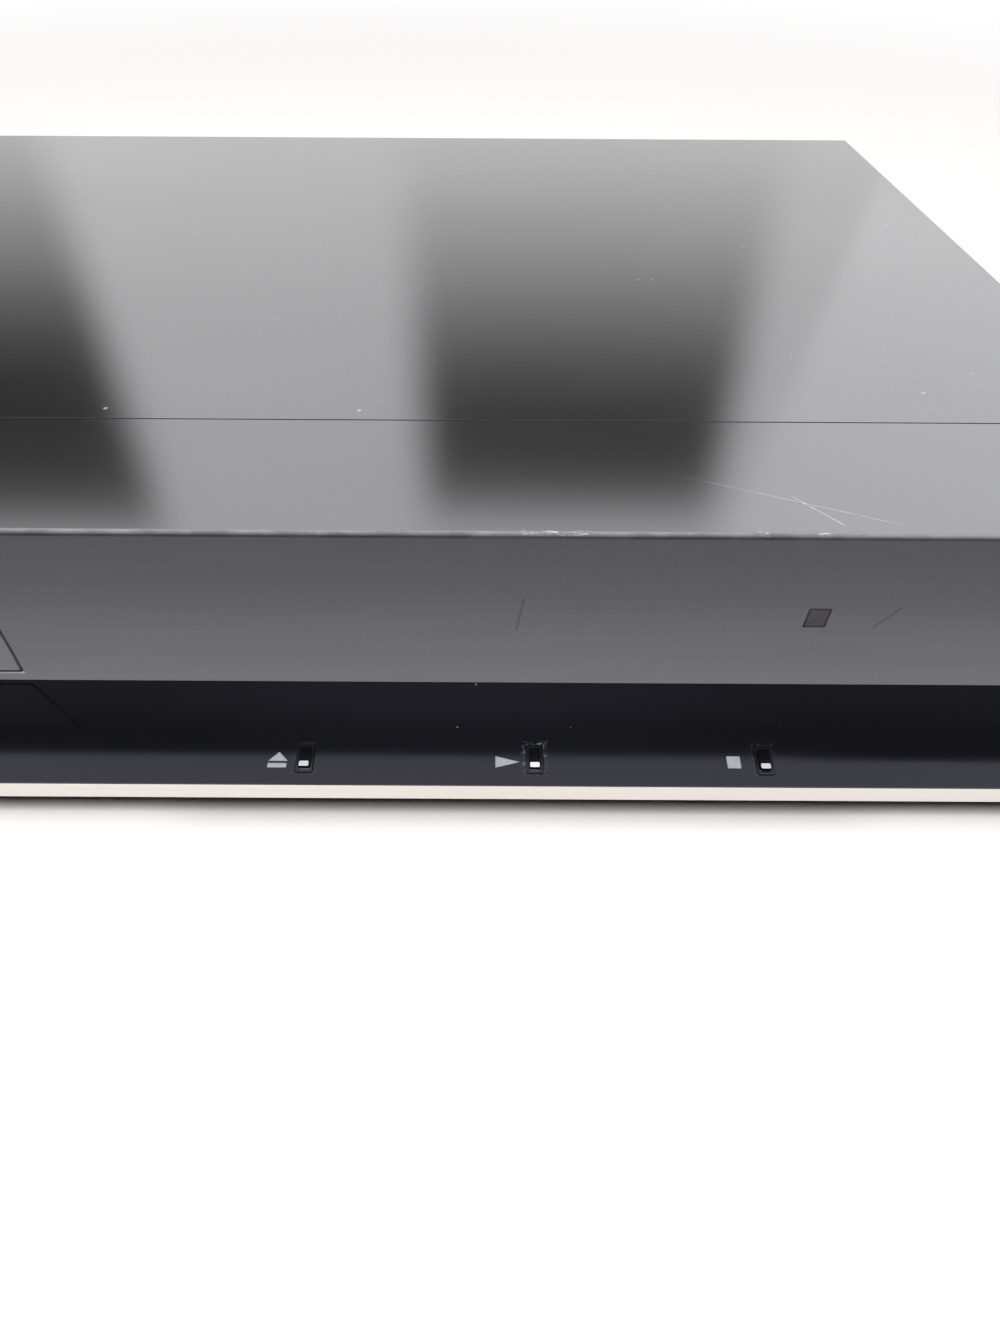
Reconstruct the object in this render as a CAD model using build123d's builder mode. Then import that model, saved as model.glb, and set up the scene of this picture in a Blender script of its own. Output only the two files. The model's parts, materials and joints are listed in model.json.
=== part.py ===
from build123d import *
import os
from math import acos, atan2, cos, degrees, hypot, pi, radians, sin, tan

# A slim disc player with a motor-driven tray, in millimetres.
# The origin is the middle of the footprint on the table, +Z is up, the front faces -Y.
# Heights are heights above the table. The tray loader's own places are counted from
# loader_x, the middle of the tray.

# ------------------------------------------------------------------ the case
width = 360.0
height = 42.6
body_depth = 215.0
jack_reach = 8.0
foot_height = 4.0
foot_radius = 11.0
foot_inset_x = 26.0
foot_front_inset = 32.0
foot_rear_inset = 24.0
sheet = 0.8
gap = 0.3
shaft_fit = 0.05

half = width / 2
front = -(body_depth + jack_reach) / 2
rear = front + body_depth
floor = foot_height + sheet
cover_under = height - sheet

# the ledge in front of the face
trim_height = 3.6
trim_thick = 0.8
ledge_lip = 0.3
ledge_slope = 10.0
ledge_run = 18.25
ledge_skin = 1.2
ledge_wall = 0.8
ledge_shelf = 4.85
ledge_leg = 1.6
ledge_end = 1.6

slope = radians(ledge_slope)
ledge_edge_z = foot_height + trim_height
face_foot_y = front + ledge_run
face_foot_z = ledge_edge_z + ledge_run * tan(slope)
ledge_rear = face_foot_y + ledge_shelf

# the face, hollow and leaning forward, and the front of the deck
face_lean = 6.0
face_sag = 1.16
panel_wall = 2.2
deck_lip = 30.0
crease_round = 0.5

crease_y = face_foot_y - (height - face_foot_z) * tan(radians(face_lean))
panel_rear = crease_y + deck_lip
panel_under = height - panel_wall

# the tray's door
door_width = 148.0
door_height = 19.0
door_right = 0.0
door_sill = 12.5
seam = 0.55

loader_x = door_right - door_width / 2
door_top = door_sill + door_height

# the keys on the ledge
key_from_end = 63.15
key_pitch = 34.9
power_key_from_end = 15.0
key_run = 4.33
key_width = 2.56
key_length = 4.86
key_hole_fit = 0.12
key_proud = 0.1
key_travel = 0.4
key_flange = 5.6
key_flange_thick = 0.5
nub_width = 1.73
nub_length = 3.47
nub_height = 0.5
nub_shift = 0.07
inlay_width = 1.45
inlay_length = 0.88
inlay_shift = 1.21
inlay_depth = 0.3
switch_size = 3.2
switch_height = 0.8
plunger_radius = 0.8
board_thick = 0.8
key_board_rear = 11.0
key_board_front = 2.3
key_post_run = 8.0
key_post_radius = 2.0

key_x = [half - key_from_end - back * key_pitch for back in (2, 1, 0)]
key_first = key_x[0]
power_key_x = -half + power_key_from_end
flange_top = ledge_skin + 0.05
flange_under = flange_top + key_flange_thick
switch_top = flange_under + key_travel + 0.05
key_board_top = switch_top + switch_height

# the remote receiver behind its window
window_from_end = 55.97
window_above = 14.56
window_width = 3.45
window_height = 4.1
window_fit = 0.04
sensor_board_width = 24.0
sensor_board_height = 18.0
sensor_post_x = 8.4
sensor_post_reach = 8.5
sensor_size = 6.4
sensor_thick = 3.0

window_x = half - window_from_end
window_z = face_foot_z + window_above

# small screws: head radius, head height, shank radius
small_head = 2.2
small_head_height = 1.1
small_shank = 1.1
case_head = 3.0
case_head_height = 1.5
case_shank = 1.45
hole_fit = 0.05
small_length = 5.0
case_length = 5.5

# ------------------------------------------------------------------ the loader
loader_lift = 4.2
plate = 1.5
loader_half = 72.0
loader_wall = 2.5
loader_gap = 1.4
loader_length = 173.0
loader_foot_x = 62.0
loader_foot_inset = 7.0
loader_foot_radius = 4.0

loader_front = ledge_rear + loader_gap
loader_rear = loader_front + loader_length
base_under = floor + loader_lift
base_top = base_under + plate

disc_back = 73.0
tray_clear = 9.0
tray_plate = 2.0
tray_rim_height = 4.0
small_recess_depth = 0.9
tray_half = 66.0
tongue_reach = 2.5
tongue_thick = 1.5
tongue_above = 0.5
disc_recess = 61.0
small_recess = 41.0
slot_half = 20.0
tray_lead = 2.5
tray_length = 169.5
tray_travel = 140.0
prong_back = 68.0
prong_inner_left = 44.0
prong_inner_right = 52.0

disc_y = loader_front + disc_back
tray_front = loader_front - tray_lead
tray_rear = tray_front + tray_length
prong_start = disc_y + prong_back
tray_under = base_top + tray_clear
tray_floor = tray_under + tray_plate
tray_rim = tray_under + tray_rim_height
tongue_half = tray_half + tongue_reach
guide_top = tray_under + tongue_above - gap
hook_under = tray_under + tongue_above + tongue_thick + gap
guide_thick = 1.5
hook_thick = 1.4
guide_half = tray_half + 0.4
hook_length = 24.0
middle_hook_back = 58.0

# the rack and the gears
module = 1.0
pressure = radians(20.0)
thinning = 0.15
pinion_teeth = 16
drive_teeth = 40
small_teeth = 12
rack_line = 46.0
rack_back = 4.0
rack_height = 4.5
drive_back = 21.0
gear_low = 1.5
drive_thick = 2.6
pinion_gap = 0.6
pinion_thick = 4.0
gear_post = 1.5
pulley_groove = 13.0
pulley_flange = 14.6
pulley_thick = 3.2
flange_thick = 0.7
motor_groove = 3.25
motor_flange = 4.6
motor_offset = 46.0
belt_thick = 1.2

drive_y = loader_front + drive_back
drive_x = loader_x - rack_line + module * pinion_teeth / 2
pulley_x = drive_x + module * (drive_teeth + small_teeth) / 2
motor_x = pulley_x + motor_offset
wheel_low = base_top + gear_low
wheel_top = wheel_low + drive_thick
pinion_low = wheel_top + pinion_gap
post_top = tray_under - 0.7

# the loading motor
motor_radius = 10.0
motor_low = 0.4
motor_ring = 2.0
motor_flange_radius = 12.4
motor_flange_thick = 0.8
motor_shaft = 1.0
motor_seat = 3.7

# ------------------------------------------------------------------ the traverse
traverse_half = 42.0
traverse_lead = 24.0
hinge_inset = 8.0
hinge_lift = 1.2
hinge_pin = 2.0
hinge_reach = 4.5
lug_thick = 3.0
lug_clear = 1.0
lug_radius = 2.9
traverse_clear = 3.5
traverse_plate = 2.0
window_half = 34.0
window_gap = 14.0
window_length = 62.0
base_window_clear = 3.0

traverse_front = disc_y - traverse_lead
hinge_y = loader_rear - hinge_inset
window_front = disc_y + window_gap
window_rear = window_front + window_length
base_window = traverse_half + base_window_clear
hinge_z = base_top + hinge_lift
traverse_under = base_top + traverse_clear
traverse_top = traverse_under + traverse_plate

# the spindle
disc_seat = 23.1
turntable_radius = 14.0
turntable_thick = 2.4
hub_radius = 7.3
hub_height = 2.5
spindle_radius = 1.2
spindle_motor_radius = 12.0
spindle_motor_height = 3.4
spindle_base_radius = 12.6
spindle_base_thick = 1.6

# guide rods, lead screw and pickup
rod_radius = 1.5
rod_x = 22.0
rod_drop = 1.6
rod_block = 4.0
screw_x = 31.0
lead_radius = 1.4
sled_motor_radius = 4.6
sled_motor_length = 12.0
sled_half = 26.0
sled_front = 10.0
sled_rear = 14.0
sled_under = 1.7
sled_top_clear = 1.6
sled_head_half = 15.0
lens_inner = 24.0
lens_gap = 1.5
lens_radius = 2.6
holder_radius = 4.6
holder_height = 4.0

rod_z = traverse_under - rod_drop
lens_y = disc_y + lens_inner
sled_low = rod_z - sled_under
sled_top = tray_under - sled_top_clear

# the cam slider in front of the traverse
cam_gap = 4.1
cam_thick = 1.6
cam_half = 28.0
cam_travel = 14.0
cam_pin = 1.2
cam_pin_x = 20.0
cam_drop = 8.4
cam_slot = 1.6
cam_top_clear = 1.2
cam_guide = 1.5
cam_wall = 0.7
cam_boss = 2.0

cam_y = traverse_front - cam_gap
pin_z = traverse_top
cam_high = tray_under - cam_top_clear

# the clamp over the disc
bridge_clear = 4.1
bridge_thick = 1.2
bridge_half = 77.0
bridge_depth = 16.0
bridge_hole = 12.0
bridge_post_x = 73.2
bridge_post_y = 11.0
bridge_post_radius = 3.5
pad_clear = 0.4
pad_radius = 14.0
pad_thick = 2.8
neck_radius = 10.6
hub_recess = 8.6
hub_recess_depth = 2.5
yoke_radius = 14.5
yoke_thick = 1.3

bridge_under = tray_rim + bridge_clear
bridge_top = bridge_under + bridge_thick
pad_under = tray_rim + pad_clear
yoke_under = bridge_top + 0.15

# ------------------------------------------------------------------ the boards
board_lift = 4.8
pcb = 1.6
main_width = 80.0
main_length = 137.0
main_end_gap = 8.0
main_rear_gap = 6.5
power_length = 92.0
power_gap = 14.0
board_spacing = 8.0
board_hole_inset = 5.0
stand_radius = 3.0
chip_size = 28.0
chip_thick = 2.2
chip_back = 50.0
sink_base = 2.0
sink_height = 12.0
fin_count = 7
fin_thick = 1.2
transformer_size = 24.0
transformer_height = 19.0
capacitor_radius = 3.2
capacitor_height = 11.0
capacitor_count = 4
bulk_radius = 8.0
bulk_height = 24.0
jack_count = 3
jack_pitch = 14.0
jack_radius = 4.15
jack_collar = 5.2
jack_bore = 1.6
jack_in = 12.0
jack_body_depth = 12.0
video_in = 58.0
video_width = 15.4
video_height = 6.6
inlet_in = 20.0
inlet_width = 17.0
inlet_height = 10.0
inlet_depth = 13.0
inlet_pin = 1.2

main_right = half - main_end_gap
main_left = main_right - main_width
main_rear = rear - main_rear_gap
main_front = main_rear - main_length
power_left = door_right + power_gap
power_right = main_left - board_spacing
power_front = main_rear - power_length
jack_first_x = main_left + jack_in
video_x = main_left + video_in
inlet_x = power_left + inlet_in
chip_y = main_front + chip_back
board_under = floor + board_lift
board_top = board_under + pcb
main_mid = (main_left + main_right) / 2
power_mid = (power_left + power_right) / 2


# ------------------------------------------------------------------ shared shapes
def block(x0, x1, y0, y1, z0, z1, mode=Mode.ADD):
    """A box between six limits."""
    with Locations(((x0 + x1) / 2, (y0 + y1) / 2, (z0 + z1) / 2)):
        Box(x1 - x0, y1 - y0, z1 - z0, mode=mode)


def post(x, y, z0, z1, radius, mode=Mode.ADD):
    """An upright round post, or an upright round hole with Mode.SUBTRACT."""
    with Locations((x, y, (z0 + z1) / 2)):
        Cylinder(radius, z1 - z0, mode=mode)


def lying_y(x, z, y0, y1, radius, mode=Mode.ADD):
    """A round bar or hole along Y."""
    with Locations((x, (y0 + y1) / 2, z)):
        Cylinder(radius, y1 - y0, rotation=(90, 0, 0), mode=mode)


def lying_x(y, z, x0, x1, radius, mode=Mode.ADD):
    """A round bar or hole along X."""
    with Locations(((x0 + x1) / 2, y, z)):
        Cylinder(radius, x1 - x0, rotation=(0, 90, 0), mode=mode)


def pan_head(seat, length, head=small_head, head_height=small_head_height, shank=small_shank):
    """A cross-head screw: its head stands on the seat plane, its shank runs down from it."""
    upward = (Align.CENTER, Align.CENTER, Align.MIN)
    downward = (Align.CENTER, Align.CENTER, Align.MAX)
    with Locations(seat):
        Cylinder(head, head_height, align=upward)
        Cylinder(shank, length, align=downward)
    with Locations(seat.offset(head_height)):
        Box(head * 1.2, head * 0.26, head_height * 0.9, align=(Align.CENTER,) * 3, mode=Mode.SUBTRACT)
        Box(head * 0.26, head * 1.2, head_height * 0.9, align=(Align.CENTER,) * 3, mode=Mode.SUBTRACT)


def down_at(x, y, z):
    """A seat plane that faces down, for a screw driven up from below."""
    return Plane(origin=(x, y, z), x_dir=(1, 0, 0), z_dir=(0, 0, -1))


def up_at(x, y, z):
    """A seat plane that faces up."""
    return Plane(origin=(x, y, z), x_dir=(1, 0, 0), z_dir=(0, 0, 1))


def on_ledge(x, run, depth=0.0):
    """A plane parallel to the ledge's top, depth below it, at x and run behind its front edge."""
    top = Plane(
        origin=(x, front + run, ledge_edge_z + run * tan(slope)),
        x_dir=(1, 0, 0),
        z_dir=(0, -sin(slope), cos(slope)),
    )
    return top.offset(-depth)


def face_at(z):
    """How far back the outside of the face lies at height z."""
    share = (z - face_foot_z) / (height - face_foot_z)
    return face_foot_y + share * (crease_y - face_foot_y) + 4 * face_sag * share * (1 - share)


def gear_outline(teeth):
    """Points round a spur gear with a tooth on +X, each flank an involute."""
    pitch_radius = module * teeth / 2
    base_radius = pitch_radius * cos(pressure)
    root = pitch_radius - 1.25 * module
    tip = pitch_radius + 0.95 * module
    half_tooth = (pi * module / 2 - thinning) / 2 / pitch_radius
    rolled = tan(pressure) - pressure

    def half_angle(radius):
        turn = acos(min(1.0, base_radius / radius))
        return half_tooth + rolled - (tan(turn) - turn)

    steps = 4
    start = max(root, base_radius)
    flank = [root] + [start + (tip - start) * step / steps for step in range(steps + 1)]
    points = []
    for tooth in range(teeth):
        middle = 2 * pi * tooth / teeth
        for radius in flank[1 if start == root else 0:]:
            points.append((radius * cos(middle - half_angle(radius)), radius * sin(middle - half_angle(radius))))
        for radius in reversed(flank[1 if start == root else 0:]):
            points.append((radius * cos(middle + half_angle(radius)), radius * sin(middle + half_angle(radius))))
    return points


with BuildSketch(Plane.YZ) as face_wall:
    with BuildLine():
        Line((face_foot_y, face_foot_z), (face_foot_y + panel_wall, face_foot_z))
        ThreePointArc(
            (face_foot_y + panel_wall, face_foot_z),
            ((face_foot_y + crease_y) / 2 + panel_wall + face_sag, (face_foot_z + height) / 2),
            (crease_y + panel_wall, height),
        )
        Line((crease_y + panel_wall, height), (crease_y, height))
        ThreePointArc(
            (crease_y, height),
            ((face_foot_y + crease_y) / 2 + face_sag, (face_foot_z + height) / 2),
            (face_foot_y, face_foot_z),
        )
    make_face()

panel_screw_x = [-half + 8.0, -60.0, 60.0, half - 8.0]
panel_screw_y = [panel_rear - 10.0, ledge_rear + 4.0, ledge_rear + 4.0, panel_rear - 10.0]
panel_foot = 3.0
foot_x = half - foot_inset_x
foot_front = front + foot_front_inset
foot_rear = rear - foot_rear_inset

# ------------------------------------------------------------------ the front
with BuildPart() as front_panel:
    extrude(face_wall.sketch, amount=half, both=True)
    crease_edge = front_panel.edges().filter_by(Axis.X).group_by(Axis.Z)[-1].sort_by(Axis.Y)[0]
    fillet(crease_edge, crease_round)
    block(-half, half, crease_y + panel_wall - 0.6, panel_rear, panel_under, height)
    for side in (-1, 1):
        with BuildSketch(Plane.YZ.offset(side * (half - panel_wall / 2))) as cheek:
            with BuildLine():
                ThreePointArc(
                    (face_foot_y + 0.6, face_foot_z),
                    ((face_foot_y + crease_y) / 2 + 0.6 + face_sag, (face_foot_z + height) / 2),
                    (crease_y + 0.6, height - 0.6),
                )
                Polyline(
                    (crease_y + 0.6, height - 0.6),
                    (panel_rear, height - 0.6),
                    (panel_rear, foot_height),
                    (ledge_rear, foot_height),
                    (ledge_rear, face_foot_z),
                    (face_foot_y + 0.6, face_foot_z),
                )
            make_face()
        extrude(amount=panel_wall / 2, both=True)
        inner = side * (half - panel_wall)
        block(
            min(inner, inner - side * 12.0), max(inner, inner - side * 12.0),
            panel_rear - 18.0, panel_rear - 2.0, floor, floor + panel_foot,
        )
    block(
        loader_x - (door_width + seam) / 2, loader_x + (door_width + seam) / 2,
        front, ledge_rear, door_sill - seam / 2, door_top + seam / 2, mode=Mode.SUBTRACT,
    )
    block(
        window_x - window_width / 2, window_x + window_width / 2, front, ledge_rear,
        window_z - window_height / 2, window_z + window_height / 2, mode=Mode.SUBTRACT,
    )
    for side in (-1, 1):
        lying_y(
            window_x + side * sensor_post_x, window_z, face_at(window_z) + panel_wall - 0.4,
            face_at(window_z) + sensor_post_reach, 2.0,
        )
        lying_y(
            window_x + side * sensor_post_x, window_z, face_at(window_z) + panel_wall + 1.0,
            face_at(window_z) + sensor_post_reach, small_shank + hole_fit, mode=Mode.SUBTRACT,
        )
    for x, y in zip(panel_screw_x, panel_screw_y):
        post(x, y, floor, floor + panel_foot, case_shank + hole_fit, mode=Mode.SUBTRACT)

with BuildPart() as ledge_panel:
    with BuildSketch(Plane.YZ) as section:
        with BuildLine():
            Polyline(
                (front, ledge_edge_z),
                (face_foot_y, face_foot_z),
                (ledge_rear, face_foot_z),
                (ledge_rear, floor),
                (ledge_rear - ledge_leg, floor),
                (ledge_rear - ledge_leg, face_foot_z - ledge_skin),
                (face_foot_y, face_foot_z - ledge_skin / cos(slope)),
                (
                    front + trim_thick + ledge_wall,
                    ledge_edge_z + (trim_thick + ledge_wall) * tan(slope) - ledge_skin / cos(slope),
                ),
                (front + trim_thick + ledge_wall, foot_height),
                (front + trim_thick, foot_height),
                (front + trim_thick, ledge_edge_z - ledge_lip),
                (front, ledge_edge_z - ledge_lip),
                close=True,
            )
        make_face()
    extrude(amount=half, both=True)
    for side in (-1, 1):
        with BuildSketch(Plane.YZ.offset(side * (half - ledge_end / 2))) as end:
            with BuildLine():
                Polyline(
                    (front + trim_thick, ledge_edge_z - ledge_lip),
                    (front + trim_thick, ledge_edge_z + trim_thick * tan(slope)),
                    (face_foot_y, face_foot_z),
                    (ledge_rear, face_foot_z),
                    (ledge_rear, foot_height),
                    (front + trim_thick, foot_height),
                    close=True,
                )
            make_face()
        extrude(amount=ledge_end / 2, both=True)
    for x, y in zip(panel_screw_x[1:3], panel_screw_y[1:3]):
        block(x - 6.0, x + 6.0, ledge_rear - 0.4, ledge_rear + 8.0, floor, floor + panel_foot)
        post(x, y, floor, floor + panel_foot, case_shank + hole_fit, mode=Mode.SUBTRACT)
    for x in key_x + [power_key_x]:
        with BuildSketch(on_ledge(x, key_run)):
            RectangleRounded(key_width + 2 * key_hole_fit, key_length + 2 * key_hole_fit, 0.5)
        extrude(amount=-ledge_skin - 0.3, mode=Mode.SUBTRACT)
    for x in (key_first - 13.0, key_first + 17.0, key_x[2] - 17.0, key_x[2] + 10.0, power_key_x - 8.0, power_key_x + 8.0):
        with Locations(on_ledge(x, key_run + key_post_run * cos(slope), ledge_skin - 0.2)):
            Cylinder(key_post_radius, key_board_top - ledge_skin + 0.2, align=(Align.CENTER, Align.CENTER, Align.MAX))
        with Locations(on_ledge(x, key_run + key_post_run * cos(slope), ledge_skin)):
            Cylinder(
                small_shank + hole_fit, key_board_top - ledge_skin,
                align=(Align.CENTER, Align.CENTER, Align.MAX), mode=Mode.SUBTRACT,
            )

with BuildPart() as front_trim:
    block(-half, half, front, front + trim_thick, foot_height, ledge_edge_z - ledge_lip)
    fillet(front_trim.edges().filter_by(Axis.X).group_by(Axis.Y)[0], 0.2)

with BuildPart() as tray_door:
    extrude(face_wall.sketch, amount=half, both=True)
    block(
        loader_x - (door_width - seam) / 2, loader_x + (door_width - seam) / 2,
        front, ledge_rear, door_sill + seam / 2, door_top - seam / 2, mode=Mode.INTERSECT,
    )
    block(
        loader_x - tray_half + 4.0, loader_x + tray_half - 4.0,
        face_at(tray_rim) + 1.0, tray_front, tray_under, tray_rim,
    )

with BuildPart() as sensor_window:
    extrude(face_wall.sketch, amount=half, both=True)
    block(
        window_x - window_width / 2 + window_fit, window_x + window_width / 2 - window_fit, front, ledge_rear,
        window_z - window_height / 2 + window_fit, window_z + window_height / 2 - window_fit,
        mode=Mode.INTERSECT,
    )

sensor_board_y = face_at(window_z) + sensor_post_reach
with BuildPart() as sensor_board:
    block(
        window_x - sensor_board_width / 2, window_x + sensor_board_width / 2,
        sensor_board_y, sensor_board_y + board_thick,
        window_z - sensor_board_height / 2, window_z + sensor_board_height / 2,
    )
    for side in (-1, 1):
        lying_y(
            window_x + side * sensor_post_x, window_z, sensor_board_y, sensor_board_y + board_thick,
            small_shank + hole_fit, mode=Mode.SUBTRACT,
        )

with BuildPart() as remote_receiver:
    block(
        window_x - sensor_size / 2, window_x + sensor_size / 2,
        sensor_board_y - sensor_thick, sensor_board_y,
        window_z - sensor_size / 2, window_z + sensor_size / 2,
    )
    with Locations((window_x, sensor_board_y - sensor_thick, window_z)):
        Sphere(1.6)

# ------------------------------------------------------------------ keys and their boards
def key_cap(x):
    """A key: a cap in the ledge's hole, a flange under the ledge and a raised nub."""
    with BuildPart() as key:
        with BuildSketch(on_ledge(x, key_run, -key_proud)):
            RectangleRounded(key_width, key_length, 0.4)
        extrude(amount=-(flange_top + key_proud))
        with BuildSketch(on_ledge(x, key_run, flange_top)):
            Rectangle(key_flange, key_length)
        extrude(amount=-key_flange_thick)
        with BuildSketch(on_ledge(x, key_run - nub_shift * cos(slope), -key_proud)):
            RectangleRounded(nub_width, nub_length, 0.25)
        extrude(amount=nub_height)
        with BuildSketch(on_ledge(x, key_run - inlay_shift * cos(slope), -key_proud - nub_height)):
            RectangleRounded(inlay_width, inlay_length, 0.2)
        extrude(amount=-inlay_depth, mode=Mode.SUBTRACT)
    return key


def key_inlay(x):
    """The pale inlay, flush with the nub's top."""
    with BuildPart() as inlay:
        with BuildSketch(on_ledge(x, key_run - inlay_shift * cos(slope), -key_proud - nub_height)):
            RectangleRounded(inlay_width, inlay_length, 0.2)
        extrude(amount=-inlay_depth)
    return inlay


def switch_plunger(x):
    """The plunger that the key's flange stands on, in the bore of the switch."""
    with BuildPart() as plunger:
        with Locations(on_ledge(x, key_run, flange_under)):
            Cylinder(plunger_radius, key_travel + 0.4, align=(Align.CENTER, Align.CENTER, Align.MAX))
    return plunger


key_names = {"eject": key_x[0], "play": key_x[1], "stop": key_x[2], "power": power_key_x}

with BuildPart() as key_switches:
    for x in key_names.values():
        with Locations(on_ledge(x, key_run, switch_top)):
            Box(switch_size, switch_size, switch_height, align=(Align.CENTER, Align.CENTER, Align.MAX))
            Cylinder(
                plunger_radius + 0.06, switch_height, align=(Align.CENTER, Align.CENTER, Align.MAX),
                mode=Mode.SUBTRACT,
            )


def key_strip(x0, x1, posts):
    """A thin board parallel to the ledge, held at its posts."""
    middle = (x0 + x1) / 2
    along = (key_board_rear - key_board_front) / 2
    with BuildPart() as strip:
        with Locations(on_ledge(middle, key_run + along * cos(slope), key_board_top)):
            Box(
                x1 - x0, key_board_rear + key_board_front, board_thick,
                align=(Align.CENTER, Align.CENTER, Align.MAX),
            )
        for x in posts:
            with Locations(on_ledge(x, key_run + key_post_run * cos(slope), key_board_top)):
                Cylinder(
                    small_shank + hole_fit, board_thick, align=(Align.CENTER, Align.CENTER, Align.MAX),
                    mode=Mode.SUBTRACT,
                )
    return strip


key_posts = [key_first - 13.0, key_first + 17.0, key_x[2] - 17.0, key_x[2] + 10.0]
power_posts = [power_key_x - 8.0, power_key_x + 8.0]
key_board = key_strip(key_first - 20.0, key_x[2] + 16.0, key_posts)
power_key_board = key_strip(power_key_x - 12.0, power_key_x + 12.0, power_posts)

with BuildPart() as key_board_screws:
    for x in key_posts + power_posts:
        under = on_ledge(x, key_run + key_post_run * cos(slope), key_board_top + board_thick)
        pan_head(
            Plane(origin=under.origin, x_dir=(1, 0, 0), z_dir=under.z_dir * -1),
            board_thick + key_board_top - ledge_skin - 0.2, head_height=0.7,
        )

# ------------------------------------------------------------------ pan, cover, feet
pan_half = half - sheet - 0.2
pan_nose = half - panel_wall - 0.4
pan_front = ledge_rear - 13.6
side_flange = 8.0
cover_screw_in = 33.5
cover_screw_y = [panel_rear + cover_screw_in, rear - cover_screw_in]
cover_screw_z = floor + 5.0
rear_screw_inset = 30.0
rear_screw_x = [-half + rear_screw_inset, 0.0, half - rear_screw_inset]
rear_screw_z = height - 5.0
cover_lip = 9.0
loader_feet = [
    (loader_x + side * loader_foot_x, y) for side in (-1, 1)
    for y in (loader_front + loader_foot_inset, loader_rear - loader_foot_inset)
]
board_holes = [
    (main_left + board_hole_inset, main_front + board_hole_inset),
    (main_right - board_hole_inset, main_front + board_hole_inset),
    (main_left + board_hole_inset, main_rear - board_hole_inset - 16.0),
    (main_right - board_hole_inset, main_rear - board_hole_inset - 16.0),
    (power_left + board_hole_inset, power_front + board_hole_inset),
    (power_right - board_hole_inset, power_front + board_hole_inset),
    (power_left + board_hole_inset, main_rear - board_hole_inset - 16.0),
    (power_right - board_hole_inset, main_rear - board_hole_inset - 16.0),
]
jack_z = board_top + 8.0
jack_x = [jack_first_x + jack_pitch * number for number in range(jack_count)]
inlet_z = board_top + 6.0
video_z = board_top + 5.0

with BuildPart() as bottom_pan:
    block(-pan_nose, pan_nose, pan_front, panel_rear + gap, foot_height, floor)
    block(-pan_half, pan_half, panel_rear + gap, rear, foot_height, floor)
    block(-pan_half, pan_half, rear - sheet, rear, foot_height, cover_under - 0.2)
    for side in (-1, 1):
        edge = side * pan_half
        block(
            min(edge, edge - side * sheet), max(edge, edge - side * sheet),
            panel_rear + 1.0, rear, foot_height, floor + side_flange,
        )
        for y in cover_screw_y:
            lying_x(
                y, cover_screw_z, side * pan_half - 2.0, side * pan_half + 2.0,
                case_shank + hole_fit, mode=Mode.SUBTRACT,
            )
    for x in rear_screw_x:
        lying_y(x, rear_screw_z, rear - 2.0, rear + 1.0, case_shank + hole_fit, mode=Mode.SUBTRACT)
    for x, y in loader_feet:
        post(x, y, floor - 0.1, base_under, loader_foot_radius)
        post(x, y, foot_height, base_under, case_shank + hole_fit, mode=Mode.SUBTRACT)
    for x, y in board_holes:
        post(x, y, floor - 0.1, board_under, stand_radius)
        post(x, y, foot_height, board_under, case_shank + hole_fit, mode=Mode.SUBTRACT)
    for x, y in zip(panel_screw_x, panel_screw_y):
        post(x, y, foot_height, floor, case_shank + hole_fit, mode=Mode.SUBTRACT)
    for x in jack_x:
        lying_y(x, jack_z, rear - 2.0, rear + 1.0, jack_collar + 0.1, mode=Mode.SUBTRACT)
    block(
        video_x - video_width / 2 - 0.1, video_x + video_width / 2 + 0.1, rear - 2.0, rear + 1.0,
        video_z - video_height / 2 - 0.1, video_z + video_height / 2 + 0.1, mode=Mode.SUBTRACT,
    )
    block(
        inlet_x - inlet_width / 2 - 0.1, inlet_x + inlet_width / 2 + 0.1, rear - 2.0, rear + 1.0,
        inlet_z - inlet_height / 2 - 0.1, inlet_z + inlet_height / 2 + 0.1, mode=Mode.SUBTRACT,
    )

with BuildPart() as top_cover:
    block(-half, half, panel_rear + gap, rear + sheet, cover_under, height)
    for side in (-1, 1):
        edge = side * half
        block(
            min(edge, edge - side * sheet), max(edge, edge - side * sheet),
            panel_rear + gap, rear + sheet, foot_height + 0.4, height,
        )
        for y in cover_screw_y:
            lying_x(
                y, cover_screw_z, side * half - 2.0, side * half + 2.0, case_shank + hole_fit, mode=Mode.SUBTRACT,
            )
    block(-half, half, rear, rear + sheet, height - cover_lip, height)
    for x in rear_screw_x:
        lying_y(x, rear_screw_z, rear - 1.0, rear + 2.0, case_shank + hole_fit, mode=Mode.SUBTRACT)
    fillet(top_cover.edges().filter_by(Axis.Y).group_by(Axis.Z)[-1], 0.6)

with BuildPart() as cover_screws:
    for side in (-1, 1):
        for y in cover_screw_y:
            pan_head(
                Plane(origin=(side * half, y, cover_screw_z), x_dir=(0, 1, 0), z_dir=(side, 0, 0)),
                5.0, case_head, case_head_height, case_shank,
            )
    for x in rear_screw_x:
        pan_head(
            Plane(origin=(x, rear + sheet, rear_screw_z), x_dir=(1, 0, 0), z_dir=(0, 1, 0)),
            5.0, case_head, case_head_height, case_shank,
        )

with BuildPart() as panel_screws:
    for x, y in zip(panel_screw_x, panel_screw_y):
        pan_head(down_at(x, y, foot_height), 3.4, case_head, case_head_height, case_shank)

with BuildPart() as feet:
    for side in (-1, 1):
        for y in (foot_front, foot_rear):
            post(side * foot_x, y, 0.0, foot_height, foot_radius)
    fillet(feet.edges().filter_by(GeomType.CIRCLE).group_by(Axis.Z)[0], 1.0)

# ------------------------------------------------------------------ loader frame
wall_inner = loader_half - loader_wall
motor_ring_top = base_top + motor_seat
bridge_posts = [
    (loader_x + side * bridge_post_x, disc_y + shift) for side in (-1, 1) for shift in (-bridge_post_y, bridge_post_y)
]

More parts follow.
